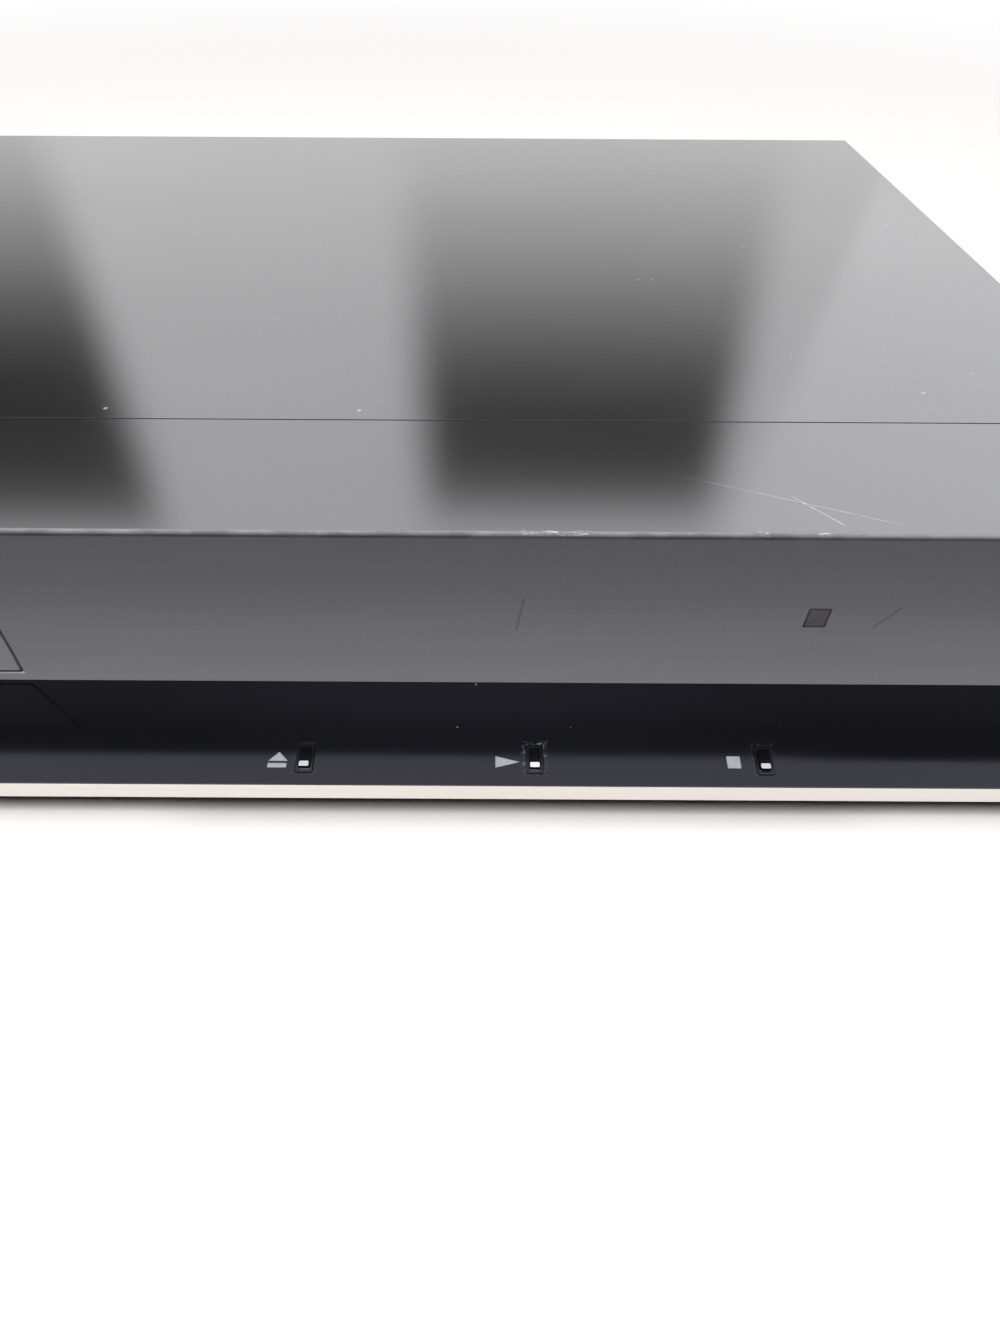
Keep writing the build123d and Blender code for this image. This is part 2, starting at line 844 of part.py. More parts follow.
with BuildPart() as loader_frame:
    block(loader_x - loader_half, loader_x + loader_half, loader_front, loader_rear, base_under, base_top)
    for side in (-1, 1):
        wall = loader_x + side * (loader_half - loader_wall / 2)
        block(
            wall - loader_wall / 2, wall + loader_wall / 2, loader_front, loader_rear, base_under, bridge_under,
        )
        guide = loader_x + side * (guide_half + wall_inner) / 2
        reach = (wall_inner - guide_half) / 2
        block(guide - reach, guide + reach, loader_front, loader_rear, guide_top - guide_thick, guide_top)
        for y in (loader_front, disc_y + middle_hook_back):
            block(guide - reach, guide + reach, y, y + hook_length, hook_under, hook_under + hook_thick)
    block(
        loader_x - loader_half, loader_x + loader_half, loader_rear - loader_wall, loader_rear,
        base_under, base_top + 6.0,
    )
    for x, y in bridge_posts:
        post(x, y, base_top, bridge_under, bridge_post_radius)
        post(x, y, bridge_under - 6.0, bridge_under, small_shank + hole_fit, mode=Mode.SUBTRACT)
    block(
        loader_x - base_window, loader_x + base_window, cam_y - cam_thick / 2 - gap,
        loader_rear - loader_wall - 2.0, base_under, base_top, mode=Mode.SUBTRACT,
    )
    for x, y in loader_feet:
        post(x, y, base_under, base_top, case_shank + hole_fit, mode=Mode.SUBTRACT)
    for x in (drive_x, pulley_x):
        post(x, drive_y, base_top, wheel_low - 0.1, gear_post + 1.5)
        post(x, drive_y, base_top, post_top, gear_post)
    post(motor_x, drive_y, base_top, motor_ring_top, motor_radius + motor_ring)
    post(motor_x, drive_y, base_under, motor_ring_top, motor_radius + hole_fit, mode=Mode.SUBTRACT)
    for side in (-1, 1):
        lug = loader_x + side * (traverse_half + lug_clear + lug_thick / 2)
        block(
            lug - lug_thick / 2, lug + lug_thick / 2, hinge_y - lug_radius, hinge_y + lug_radius,
            base_under, hinge_z + lug_radius,
        )
        lying_x(
            hinge_y, hinge_z, lug - lug_thick, lug + lug_thick, hinge_pin + shaft_fit, mode=Mode.SUBTRACT,
        )
        block(
            loader_x + side * (cam_half - 3.0) - 2.5, loader_x + side * (cam_half - 3.0) + 2.5,
            cam_y - cam_thick / 2 - gap - cam_guide, cam_y - cam_thick / 2 - gap, base_under, cam_high - 2.0,
        )

# ------------------------------------------------------------------ the tray
with BuildPart() as tray:
    block(loader_x - tray_half, loader_x + tray_half, tray_front, tray_rear, tray_under, tray_rim)
    block(
        loader_x - tongue_half, loader_x + tongue_half, tray_front + 2.0, tray_rear,
        tray_under + tongue_above, tray_under + tongue_above + tongue_thick,
    )
    block(
        loader_x - prong_inner_left, loader_x + prong_inner_right, prong_start, tray_rear,
        tray_under, tray_rim, mode=Mode.SUBTRACT,
    )
    post(loader_x, disc_y, tray_floor, tray_rim, disc_recess, mode=Mode.SUBTRACT)
    post(loader_x, disc_y, tray_floor - small_recess_depth, tray_rim, small_recess, mode=Mode.SUBTRACT)
    post(loader_x, disc_y, tray_under, tray_rim, slot_half, mode=Mode.SUBTRACT)
    block(loader_x - slot_half, loader_x + slot_half, disc_y, tray_rear, tray_under, tray_rim, mode=Mode.SUBTRACT)
    for side in (-1, 1):
        post(loader_x + side * disc_recess * 0.8, disc_y - disc_recess * 0.72, tray_floor, tray_rim, 9.0, mode=Mode.SUBTRACT)
    with BuildSketch(Plane.XY.offset(tray_under - rack_height)) as rack:
        line_x = loader_x - rack_line
        flank = tan(pressure)
        tooth_half = (pi * module / 2 - thinning) / 2
        first_tooth = drive_y - 2.5 * pi * module
        rack_teeth = int((tray_travel + 5.0 * pi * module) / (pi * module)) + 1
        rack_end = first_tooth + (rack_teeth - 0.5) * pi * module
        outline = [(line_x - rack_back, first_tooth - pi * module / 2)]
        outline.append((line_x - 1.25 * module, first_tooth - pi * module / 2))
        for number in range(rack_teeth):
            tooth_y = first_tooth + number * pi * module
            outline.append((line_x - 1.25 * module, tooth_y - tooth_half - 1.25 * module * flank))
            outline.append((line_x + 0.95 * module, tooth_y - tooth_half + 0.95 * module * flank))
            outline.append((line_x + 0.95 * module, tooth_y + tooth_half - 0.95 * module * flank))
            outline.append((line_x - 1.25 * module, tooth_y + tooth_half + 1.25 * module * flank))
        outline.append((line_x - 1.25 * module, rack_end))
        outline.append((line_x - rack_back, rack_end))
        Polygon(*outline, align=None)
    extrude(amount=rack_height)

# ------------------------------------------------------------------ gears, belt, motor
with BuildPart() as drive_gear:
    with BuildSketch(Plane.XY.offset(wheel_low)):
        with Locations((drive_x, drive_y)):
            Polygon(*gear_outline(drive_teeth), align=None)
    extrude(amount=drive_thick)
    post(drive_x, drive_y, wheel_top, pinion_low, module * pinion_teeth / 2 - 1.5)
    with BuildSketch(Plane.XY.offset(pinion_low)):
        with Locations((drive_x, drive_y)):
            Polygon(*gear_outline(pinion_teeth), align=None)
    extrude(amount=pinion_thick - 0.3)
    post(drive_x, drive_y, wheel_low, pinion_low + pinion_thick, gear_post + shaft_fit, mode=Mode.SUBTRACT)

with BuildPart() as pulley_gear:
    with BuildSketch(Plane.XY.offset(wheel_low)):
        with Locations(Location((pulley_x, drive_y), 180.0 / small_teeth)):
            Polygon(*gear_outline(small_teeth), align=None)
    extrude(amount=drive_thick)
    post(pulley_x, drive_y, wheel_top, pinion_low, module * small_teeth / 2 - 1.3)
    post(pulley_x, drive_y, pinion_low, pinion_low + pulley_thick, pulley_groove)
    post(pulley_x, drive_y, pinion_low, pinion_low + flange_thick, pulley_flange)
    post(
        pulley_x, drive_y, pinion_low + pulley_thick - flange_thick, pinion_low + pulley_thick, pulley_flange,
    )
    post(pulley_x, drive_y, wheel_low, pinion_low + pulley_thick, gear_post + shaft_fit, mode=Mode.SUBTRACT)

with BuildPart() as motor_pulley:
    post(motor_x, drive_y, pinion_low, pinion_low + pulley_thick, motor_groove)
    post(motor_x, drive_y, pinion_low, pinion_low + flange_thick, motor_flange)
    post(
        motor_x, drive_y, pinion_low + pulley_thick - flange_thick, pinion_low + pulley_thick, motor_flange,
    )
    post(motor_x, drive_y, pinion_low, pinion_low + pulley_thick, motor_shaft + shaft_fit, mode=Mode.SUBTRACT)

belt_low = pinion_low + (pulley_thick - belt_thick) / 2
with BuildPart() as drive_belt:
    with BuildSketch(Plane.XY.offset(belt_low)):
        with Locations((pulley_x, drive_y)):
            Circle(pulley_groove + gap + belt_thick)
        with Locations((motor_x, drive_y)):
            Circle(motor_groove + gap + belt_thick)
        make_hull()
    extrude(amount=belt_thick)
    with BuildSketch(Plane.XY.offset(belt_low)):
        with Locations((pulley_x, drive_y)):
            Circle(pulley_groove + gap)
        with Locations((motor_x, drive_y)):
            Circle(motor_groove + gap)
        make_hull()
    extrude(amount=belt_thick, mode=Mode.SUBTRACT)

with BuildPart() as loading_motor:
    post(motor_x, drive_y, floor + motor_low, motor_ring_top + motor_flange_thick, motor_radius)
    post(motor_x, drive_y, motor_ring_top, motor_ring_top + motor_flange_thick, motor_flange_radius)
    post(motor_x, drive_y, motor_ring_top, pinion_low + pulley_thick, motor_shaft)

# ------------------------------------------------------------------ traverse
rod_front = window_front - rod_block
rod_rear = window_rear + rod_block
with BuildPart() as traverse_frame:
    block(
        loader_x - traverse_half, loader_x + traverse_half, traverse_front, hinge_y - lug_radius - 1.0,
        traverse_under, traverse_top,
    )
    block(
        loader_x - window_half, loader_x + window_half, window_front, window_rear,
        traverse_under, traverse_top, mode=Mode.SUBTRACT,
    )
    for side in (-1, 1):
        inner = loader_x + side * (traverse_half - 4.0)
        outer = loader_x + side * traverse_half
        block(
            min(inner, outer), max(inner, outer), hinge_y - lug_radius - 6.0, hinge_y,
            hinge_z - hinge_pin - 0.5, traverse_top,
        )
        pin_end = loader_x + side * (traverse_half + hinge_reach)
        lying_x(hinge_y, hinge_z, min(inner, pin_end), max(inner, pin_end), hinge_pin)
        lying_y(
            loader_x + side * cam_pin_x, pin_z, cam_y - cam_thick / 2 - 0.2, traverse_front + 1.0, cam_pin,
        )
        block(
            loader_x + side * cam_pin_x - cam_boss, loader_x + side * cam_pin_x + cam_boss,
            traverse_front, traverse_front + 4.0, traverse_under, pin_z + cam_pin + 0.2,
        )
        for y0, y1 in ((rod_front, window_front), (window_rear, rod_rear)):
            block(
                loader_x + side * rod_x - 3.0, loader_x + side * rod_x + 3.0, y0, y1,
                rod_z - rod_radius - 0.2, traverse_under,
            )
    for side in (-1, 1):
        lying_y(loader_x + side * rod_x, rod_z, rod_front, rod_rear, rod_radius + 0.02, mode=Mode.SUBTRACT)
    block(
        loader_x + screw_x - 3.0, loader_x + screw_x + 3.0, rod_front, window_front,
        rod_z - lead_radius - 0.2, traverse_under,
    )
    lying_y(loader_x + screw_x, rod_z, rod_front, window_front, lead_radius + shaft_fit, mode=Mode.SUBTRACT)
    block(
        loader_x + screw_x - sled_motor_radius - 0.3, loader_x + screw_x + sled_motor_radius + 0.3,
        window_rear - 0.5, window_rear + sled_motor_length + 0.5, traverse_under, traverse_top, mode=Mode.SUBTRACT,
    )
    post(loader_x, disc_y, traverse_under, traverse_top, spindle_radius + 1.6, mode=Mode.SUBTRACT)

turntable_under = disc_seat - turntable_thick
with BuildPart() as spindle_motor:
    post(loader_x, disc_y, traverse_under - spindle_base_thick, traverse_under, spindle_base_radius)
    post(loader_x, disc_y, traverse_under, traverse_top, spindle_radius + 1.5)
    post(loader_x, disc_y, traverse_top, traverse_top + spindle_motor_height, spindle_motor_radius)
    post(
        loader_x, disc_y, traverse_under, traverse_top + spindle_motor_height, spindle_radius + shaft_fit,
        mode=Mode.SUBTRACT,
    )

with BuildPart() as turntable:
    post(loader_x, disc_y, turntable_under, disc_seat, turntable_radius)
    post(loader_x, disc_y, disc_seat, disc_seat + hub_height, hub_radius)
    chamfer(turntable.edges().filter_by(GeomType.CIRCLE).group_by(Axis.Z)[-1], 1.2)
    post(loader_x, disc_y, traverse_under + 0.2, turntable_under, spindle_radius)

with BuildPart() as guide_rods:
    for side in (-1, 1):
        lying_y(loader_x + side * rod_x, rod_z, rod_front, rod_rear, rod_radius)

with BuildPart() as lead_screw:
    lying_y(loader_x + screw_x, rod_z, rod_front, window_rear, lead_radius)

with BuildPart() as sled_motor:
    lying_y(loader_x + screw_x, rod_z, window_rear, window_rear + sled_motor_length, sled_motor_radius)

with BuildPart() as pickup_sled:
    block(
        loader_x - sled_half, loader_x + sled_half, lens_y - sled_front, lens_y + sled_rear,
        sled_low, traverse_top,
    )
    block(
        loader_x - sled_head_half, loader_x + sled_head_half, lens_y - sled_front, lens_y + sled_rear,
        traverse_top, sled_top,
    )
    for side in (-1, 1):
        lying_y(
            loader_x + side * rod_x, rod_z, lens_y - sled_front, lens_y + sled_rear, rod_radius + shaft_fit,
            mode=Mode.SUBTRACT,
        )
    block(
        loader_x + sled_half - 0.5, loader_x + screw_x + 1.0, lens_y - 4.0, lens_y + 8.0,
        rod_z + lead_radius + gap, traverse_top - gap,
    )
    post(loader_x, lens_y, sled_low + 1.5, sled_top, holder_radius + 0.6, mode=Mode.SUBTRACT)
    post(loader_x, lens_y, sled_low + 1.5, sled_top - 2.0, 1.6)

holder_top = disc_seat - lens_gap - 0.6
with BuildPart() as lens_holder:
    post(loader_x, lens_y, holder_top - holder_height, holder_top, holder_radius)
    post(loader_x, lens_y, holder_top - holder_height, holder_top, lens_radius, mode=Mode.SUBTRACT)

with BuildPart() as objective_lens:
    post(loader_x, lens_y, holder_top - 1.2, holder_top + 0.3, lens_radius)
    fillet(objective_lens.edges().filter_by(GeomType.CIRCLE).group_by(Axis.Z)[-1], 0.8)

# ------------------------------------------------------------------ cam slider
with BuildPart() as cam_slider:
    block(
        loader_x - cam_half, loader_x + cam_half + cam_travel, cam_y - cam_thick / 2, cam_y + cam_thick / 2,
        pin_z - cam_drop - cam_slot - cam_wall, cam_high,
    )
    for side in (-1, 1):
        with BuildSketch(Plane.XZ.offset(-cam_y)) as slot:
            with Locations((loader_x + side * cam_pin_x + cam_travel / 2, pin_z - cam_drop / 2)):
                SlotCenterToCenter(
                    hypot(cam_travel, cam_drop), 2 * cam_slot, rotation=-degrees(atan2(cam_drop, cam_travel)),
                )
        extrude(amount=cam_thick, both=True, mode=Mode.SUBTRACT)

# ------------------------------------------------------------------ clamp
with BuildPart() as clamp_bridge:
    block(
        loader_x - bridge_half, loader_x + bridge_half, disc_y - bridge_depth, disc_y + bridge_depth,
        bridge_under, bridge_top,
    )
    post(loader_x, disc_y, bridge_under, bridge_top, bridge_hole, mode=Mode.SUBTRACT)
    for x, y in bridge_posts:
        post(x, y, bridge_under, bridge_top, small_shank + hole_fit, mode=Mode.SUBTRACT)

with BuildPart() as small_screws:
    for x, y in bridge_posts:
        pan_head(up_at(x, y, bridge_top), small_length)
    for side in (-1, 1):
        pan_head(
            Plane(
                origin=(window_x + side * sensor_post_x, sensor_board_y + board_thick, window_z),
                x_dir=(1, 0, 0), z_dir=(0, 1, 0),
            ),
            small_length,
        )

with BuildPart() as clamper:
    post(loader_x, disc_y, pad_under, pad_under + pad_thick, pad_radius)
    post(loader_x, disc_y, pad_under + pad_thick, yoke_under, neck_radius)
    post(loader_x, disc_y, pad_under, pad_under + hub_recess_depth, hub_recess, mode=Mode.SUBTRACT)

with BuildPart() as clamper_yoke:
    post(loader_x, disc_y, yoke_under, yoke_under + yoke_thick, yoke_radius)
    chamfer(clamper_yoke.edges().filter_by(GeomType.CIRCLE).group_by(Axis.Z)[-1], 0.4)


# ------------------------------------------------------------------ boards
def drilled_board(x0, x1, y0, y1, holes):
    """A board with its screw holes."""
    with BuildPart() as board:
        block(x0, x1, y0, y1, board_under, board_top)
        for x, y in holes:
            post(x, y, board_under, board_top, case_shank + hole_fit, mode=Mode.SUBTRACT)
    return board


main_board = drilled_board(main_left, main_right, main_front, main_rear, board_holes[:4])
power_board = drilled_board(power_left, power_right, power_front, main_rear, board_holes[4:])

with BuildPart() as inner_screws:
    for x, y in board_holes:
        pan_head(up_at(x, y, board_top), case_length, case_head, case_head_height, case_shank)
    for x, y in loader_feet:
        pan_head(up_at(x, y, base_top), case_length, case_head, case_head_height, case_shank)

with BuildPart() as main_chip:
    block(
        main_mid - chip_size / 2, main_mid + chip_size / 2, chip_y - chip_size / 2, chip_y + chip_size / 2,
        board_top, board_top + chip_thick,
    )

with BuildPart() as heat_sink:
    block(
        main_mid - chip_size / 2, main_mid + chip_size / 2, chip_y - chip_size / 2, chip_y + chip_size / 2,
        board_top + chip_thick, board_top + chip_thick + sink_base,
    )
    for number in range(fin_count):
        fin_x = main_mid - chip_size / 2 + number * (chip_size - fin_thick) / (fin_count - 1)
        block(
            fin_x, fin_x + fin_thick, chip_y - chip_size / 2, chip_y + chip_size / 2,
            board_top + chip_thick + sink_base - 0.1, board_top + chip_thick + sink_height,
        )

with BuildPart() as capacitors:
    for number in range(capacitor_count):
        post(
            main_left + 12.0 + number * 2.6 * capacitor_radius, chip_y + chip_size, board_top,
            board_top + capacitor_height, capacitor_radius,
        )

with BuildPart() as transformer:
    block(
        power_mid - transformer_size / 2, power_mid + transformer_size / 2,
        power_front + 30.0, power_front + 30.0 + transformer_size, board_top, board_top + transformer_height,
    )
    fillet(transformer.edges().filter_by(Axis.Z), 2.0)

with BuildPart() as bulk_capacitor:
    post(power_left + 16.0, power_front + 18.0, board_top, board_top + bulk_height, bulk_radius)

with BuildPart() as phono_jacks:
    block(
        jack_x[0] - jack_pitch / 2 + 0.5, jack_x[-1] + jack_pitch / 2 - 0.5,
        rear - sheet - jack_body_depth, rear - sheet, board_top, jack_z + jack_collar + 1.0,
    )
    for x in jack_x:
        lying_y(x, jack_z, rear - sheet, rear + sheet, jack_collar)
        lying_y(x, jack_z, rear - sheet, rear + jack_reach, jack_radius)
        lying_y(x, jack_z, rear - 1.0, rear + jack_reach, jack_bore, mode=Mode.SUBTRACT)

with BuildPart() as video_socket:
    block(
        video_x - video_width / 2, video_x + video_width / 2, rear - sheet - 12.0, rear + 0.6,
        board_top, video_z + video_height / 2,
    )
    block(
        video_x - video_width / 2 - 1.0, video_x + video_width / 2 + 1.0, rear - 1.0, rear + 1.0,
        board_top - 1.0, video_z - video_height / 2, mode=Mode.SUBTRACT,
    )
    block(
        video_x - video_width / 2 + 0.7, video_x + video_width / 2 - 0.7, rear - 9.0, rear + 1.0,
        video_z - video_height / 2 + 0.7, video_z + video_height / 2 - 0.7, mode=Mode.SUBTRACT,
    )
    block(video_x - 5.5, video_x + 5.5, rear - 9.5, rear - 1.5, video_z - 0.6, video_z + 0.6)

with BuildPart() as power_inlet:
    block(
        inlet_x - inlet_width / 2, inlet_x + inlet_width / 2, rear - sheet - inlet_depth, rear + 0.6,
        inlet_z - inlet_height / 2, inlet_z + inlet_height / 2,
    )
    block(
        inlet_x - inlet_width / 2 - 1.0, inlet_x + inlet_width / 2 + 1.0,
        rear - sheet - inlet_depth, rear - sheet - 2.0, board_top, inlet_z,
    )
    with BuildSketch(Plane.XZ.offset(-rear - 0.6)):
        with Locations((inlet_x, inlet_z)):
            SlotOverall(inlet_width - 2.0, inlet_height - 2.4)
    extrude(amount=inlet_depth - 2.0, mode=Mode.SUBTRACT)
    for side in (-1, 1):
        lying_y(
            inlet_x + side * inlet_width / 4, inlet_z, rear - sheet - inlet_depth + 1.0, rear - 1.5, inlet_pin,
        )

# ------------------------------------------------------------------ write every piece
pieces = {
    "front_panel": front_panel,
    "ledge_panel": ledge_panel,
    "front_trim": front_trim,
    "tray_door": tray_door,
    "sensor_window": sensor_window,
    "sensor_board": sensor_board,
    "remote_receiver": remote_receiver,
    "key_switches": key_switches,
    "key_board": key_board,
    "power_key_board": power_key_board,
    "key_board_screws": key_board_screws,
    "bottom_pan": bottom_pan,
    "top_cover": top_cover,
    "cover_screws": cover_screws,
    "panel_screws": panel_screws,
    "feet": feet,
    "loader_frame": loader_frame,
    "tray": tray,
    "drive_gear": drive_gear,
    "pulley_gear": pulley_gear,
    "motor_pulley": motor_pulley,
    "drive_belt": drive_belt,
    "loading_motor": loading_motor,
    "traverse_frame": traverse_frame,
    "spindle_motor": spindle_motor,
    "turntable": turntable,
    "guide_rods": guide_rods,
    "lead_screw": lead_screw,
    "sled_motor": sled_motor,
    "pickup_sled": pickup_sled,
    "lens_holder": lens_holder,
    "objective_lens": objective_lens,
    "cam_slider": cam_slider,
    "clamp_bridge": clamp_bridge,
    "small_screws": small_screws,
    "clamper": clamper,
    "clamper_yoke": clamper_yoke,
    "main_board": main_board,
    "power_board": power_board,
    "inner_screws": inner_screws,
    "main_chip": main_chip,
    "heat_sink": heat_sink,
    "capacitors": capacitors,
    "transformer": transformer,
    "bulk_capacitor": bulk_capacitor,
    "phono_jacks": phono_jacks,
    "video_socket": video_socket,
    "power_inlet": power_inlet,
}
for name, x in key_names.items():
    pieces[f"{name}_key"] = key_cap(x)
    pieces[f"{name}_inlay"] = key_inlay(x)
    pieces[f"{name}_plunger"] = switch_plunger(x)

os.makedirs("parts", exist_ok=True)
for node, piece in pieces.items():
    piece.part.label = node
    export_step(piece.part, f"parts/{node}.step")
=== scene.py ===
import json
from math import cos, hypot, pi, radians, sin, sqrt, tan

import bpy
from bpy.props import FloatProperty, FloatVectorProperty, PointerProperty
from bpy.types import Operator, Panel, PropertyGroup
from mathutils import Matrix, Vector

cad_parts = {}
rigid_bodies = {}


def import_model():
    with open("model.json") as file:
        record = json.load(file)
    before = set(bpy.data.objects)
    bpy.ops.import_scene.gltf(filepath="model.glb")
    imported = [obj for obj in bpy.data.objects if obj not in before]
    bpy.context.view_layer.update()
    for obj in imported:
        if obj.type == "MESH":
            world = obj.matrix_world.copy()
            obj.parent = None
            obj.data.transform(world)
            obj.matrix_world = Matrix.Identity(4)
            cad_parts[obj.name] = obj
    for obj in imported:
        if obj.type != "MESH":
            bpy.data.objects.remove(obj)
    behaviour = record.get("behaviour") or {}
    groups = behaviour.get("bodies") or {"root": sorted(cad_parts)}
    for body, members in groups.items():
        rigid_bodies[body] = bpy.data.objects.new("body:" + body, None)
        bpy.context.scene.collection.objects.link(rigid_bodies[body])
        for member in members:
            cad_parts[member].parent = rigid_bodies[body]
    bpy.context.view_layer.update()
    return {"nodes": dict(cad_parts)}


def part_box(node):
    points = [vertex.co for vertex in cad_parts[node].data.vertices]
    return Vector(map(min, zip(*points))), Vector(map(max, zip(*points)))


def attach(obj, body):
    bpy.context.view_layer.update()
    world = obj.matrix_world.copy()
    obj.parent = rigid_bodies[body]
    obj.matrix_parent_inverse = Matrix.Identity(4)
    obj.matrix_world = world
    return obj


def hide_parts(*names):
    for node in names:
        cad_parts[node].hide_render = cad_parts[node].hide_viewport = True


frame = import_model()

bl_info = {
    "name": "Slim Disc Player",
    "version": (1, 0, 0),
    "blender": (4, 5, 0),
    "location": "3D View > Sidebar > Disc Player",
    "description": "Dresses a slim disc player with a tray and sets up its stage",
    "category": "Object",
}

# Places are in metres, taken from the solids.
MM = 0.001
LEDGE_LOW, LEDGE_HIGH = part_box("ledge_panel")
PANEL_LOW, PANEL_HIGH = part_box("front_panel")
WINDOW_LOW, WINDOW_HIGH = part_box("sensor_window")
FRONT = LEDGE_LOW.y
TOP = PANEL_HIGH.z
CREASE = PANEL_LOW.y
LEDGE_SLOPE = radians(10.0)
LEDGE_RUN = 18.25 * MM
LEDGE_EDGE = LEDGE_HIGH.z - LEDGE_RUN * tan(LEDGE_SLOPE)
LEDGE_LEAN = 0.022  # extra lean that the ledge's shine shows, as rise over run
CARD_PLACE = 0.60  # how far behind the middle the dark cards stand
BACKDROP_REACH = (0.30, 0.85)  # where the floor passes into the white backdrop
LAMP_AIM = (0.03, -0.08, 0.02)
COOL_SHINE = (0.79, 0.80, 1.0, 1.0)
LEDGE_ROUND = 0.10 * MM
WINDOW_ROUND = 0.03 * MM
FOOT_ROUND = 0.6 * MM
FACE_PAINT = {"roughness": 0.50, "metallic": 0.0, "grain": 0.06, "Specular_IOR_Level": 0.04}

# The printed signs: corner radii, and the power sign's open ring.
BAR_CORNER = 0.12 * MM
TRIANGLE_CORNER = 0.10 * MM
RING_RADIUS = 1.15 * MM
RING_WIDTH = 0.34 * MM
RING_GAP = 0.84 * MM

# Wear round a key's hole: it is measured from just inside the hole's edge.
WEAR_HALF_WIDTH = 1.32 * MM
WEAR_HALF_LENGTH = 2.46 * MM
KEY_WEAR = {"eject_key": 0.10, "play_key": 1.0, "stop_key": 0.22, "power_key": 0.10}

# The row of sockets in the rear wall: the first one, the step to the next and their height.
JACK_FIRST = 104.0 * MM
JACK_PITCH = 14.0 * MM
JACK_HEIGHT = 19.2 * MM


def middle(node):
    """The middle of a node's box."""
    low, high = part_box(node)
    return (low + high) / 2


# ------------------------------------------------------------------ what a user can change
COLOUR = {"subtype": "COLOR", "size": 3, "min": 0.0, "max": 1.0}


class CaseLook(PropertyGroup):
    """Sizes and colours of the case."""
    deck_grey: FloatVectorProperty(
        name="Deck", description="Satin grey of the deck and the top cover",
        default=(0.318, 0.318, 0.326), **COLOUR)
    face_grey: FloatVectorProperty(
        name="Face", description="Brushed grey of the hollow face",
        default=(0.425, 0.417, 0.443), **COLOUR)
    door_grey: FloatVectorProperty(
        name="Door", description="Brushed grey of the tray's door",
        default=(0.480, 0.470, 0.498), **COLOUR)
    ledge_black: FloatVectorProperty(
        name="Ledge", description="Gloss black of the ledge",
        default=(0.0005, 0.0007, 0.0012), **COLOUR)
    trim_cream: FloatVectorProperty(
        name="Trim", description="Pale metal of the strip along the ledge",
        default=(0.93, 0.90, 0.845), **COLOUR)
    moulding_round: FloatProperty(
        name="Moulding edge", description="Rounding of the moulded panels' edges",
        unit="LENGTH", min=0.0, default=0.18 * MM)
    sheet_round: FloatProperty(
        name="Sheet edge", description="Rounding of the bent sheet's edges",
        unit="LENGTH", min=0.0, default=0.25 * MM)


class KeyLook(PropertyGroup):
    """Sizes and colours of the keys and the signs beside them."""
    key_black: FloatVectorProperty(
        name="Key", description="Black of the keys",
        default=(0.002, 0.002, 0.003), **COLOUR)
    # The inlays' pale colour is painted highlight on each key's nub.
    inlay_highlight_pale: FloatVectorProperty(
        name="Inlay", description="Painted highlight inlay in each key",
        default=(0.72, 0.71, 0.72), **COLOUR)
    print_grey: FloatVectorProperty(
        name="Print", description="Ink of the signs beside the keys",
        default=(0.300, 0.322, 0.355), **COLOUR)
    print_height: FloatProperty(
        name="Print height", description="How far the ink stands on the ledge",
        unit="LENGTH", min=0.0, default=0.03 * MM)
    key_round: FloatProperty(
        name="Key edge", description="Rounding of the keys' edges",
        unit="LENGTH", min=0.0, default=0.09 * MM)


class InnerLook(PropertyGroup):
    """Colours of the loader, the boards and the rear."""
    board_green: FloatVectorProperty(
        name="Main board", description="Green of the main board",
        default=(0.022, 0.125, 0.052), **COLOUR)
    board_brown: FloatVectorProperty(
        name="Paper boards", description="Brown of the plain paper boards",
        default=(0.245, 0.125, 0.045), **COLOUR)
    tray_black: FloatVectorProperty(
        name="Tray", description="Black of the tray",
        default=(0.020, 0.020, 0.022), **COLOUR)
    frame_grey: FloatVectorProperty(
        name="Loader frame", description="Dark grey of the loader's mouldings",
        default=(0.045, 0.046, 0.050), **COLOUR)
    slide_white: FloatVectorProperty(
        name="Gears", description="Milky white of the gears and slides",
        default=(0.72, 0.71, 0.66), **COLOUR)
    steel: FloatVectorProperty(
        name="Plated steel", description="Colour of the plated steel sheet",
        default=(0.50, 0.51, 0.51), **COLOUR)


class StageLook(PropertyGroup):
    """The floor, the lamps and the camera."""
    floor_white: FloatVectorProperty(
        name="Floor", description="Colour of the floor",
        default=(0.045, 0.045, 0.045), **COLOUR)
    seen_white: FloatProperty(
        name="Seen white", description="How white the floor looks to the camera",
        min=0.0, default=0.80)
    mirrored_white: FloatProperty(
        name="Mirrored white", description="How white the floor looks in the player's shiny parts",
        min=0.0, default=0.77)
    sky_level: FloatProperty(
        name="Sky", description="Strength of the faint light from all sides",
        min=0.0, default=0.04)
    cap_level: FloatProperty(
        name="Ceiling", description="Strength of the soft light from above and a little behind",
        min=0.0, default=1.6)
    lamp_power: FloatProperty(
        name="Front lamp", description="Power of the large lamp high in front",
        unit="POWER", min=0.0, default=22.0)
    rear_power: FloatProperty(
        name="Rear lamp", description="Power of the lamp behind on the right",
        unit="POWER", min=0.0, default=0.8)
    lens: FloatProperty(
        name="Lens", description="Focal length of the camera in millimetres",
        min=1.0, default=23.02)
    camera_place: FloatVectorProperty(
        name="Camera", description="Where the camera stands",
        subtype="XYZ", unit="LENGTH", size=3, default=(0.0766, -0.1892, 0.1095))
    camera_dip: FloatProperty(
        name="Dip", description="How far the camera looks down",
        subtype="ANGLE", default=radians(44.6))
    camera_roll: FloatProperty(
        name="Roll", description="How far the camera leans to one side",
        subtype="ANGLE", default=radians(0.33))


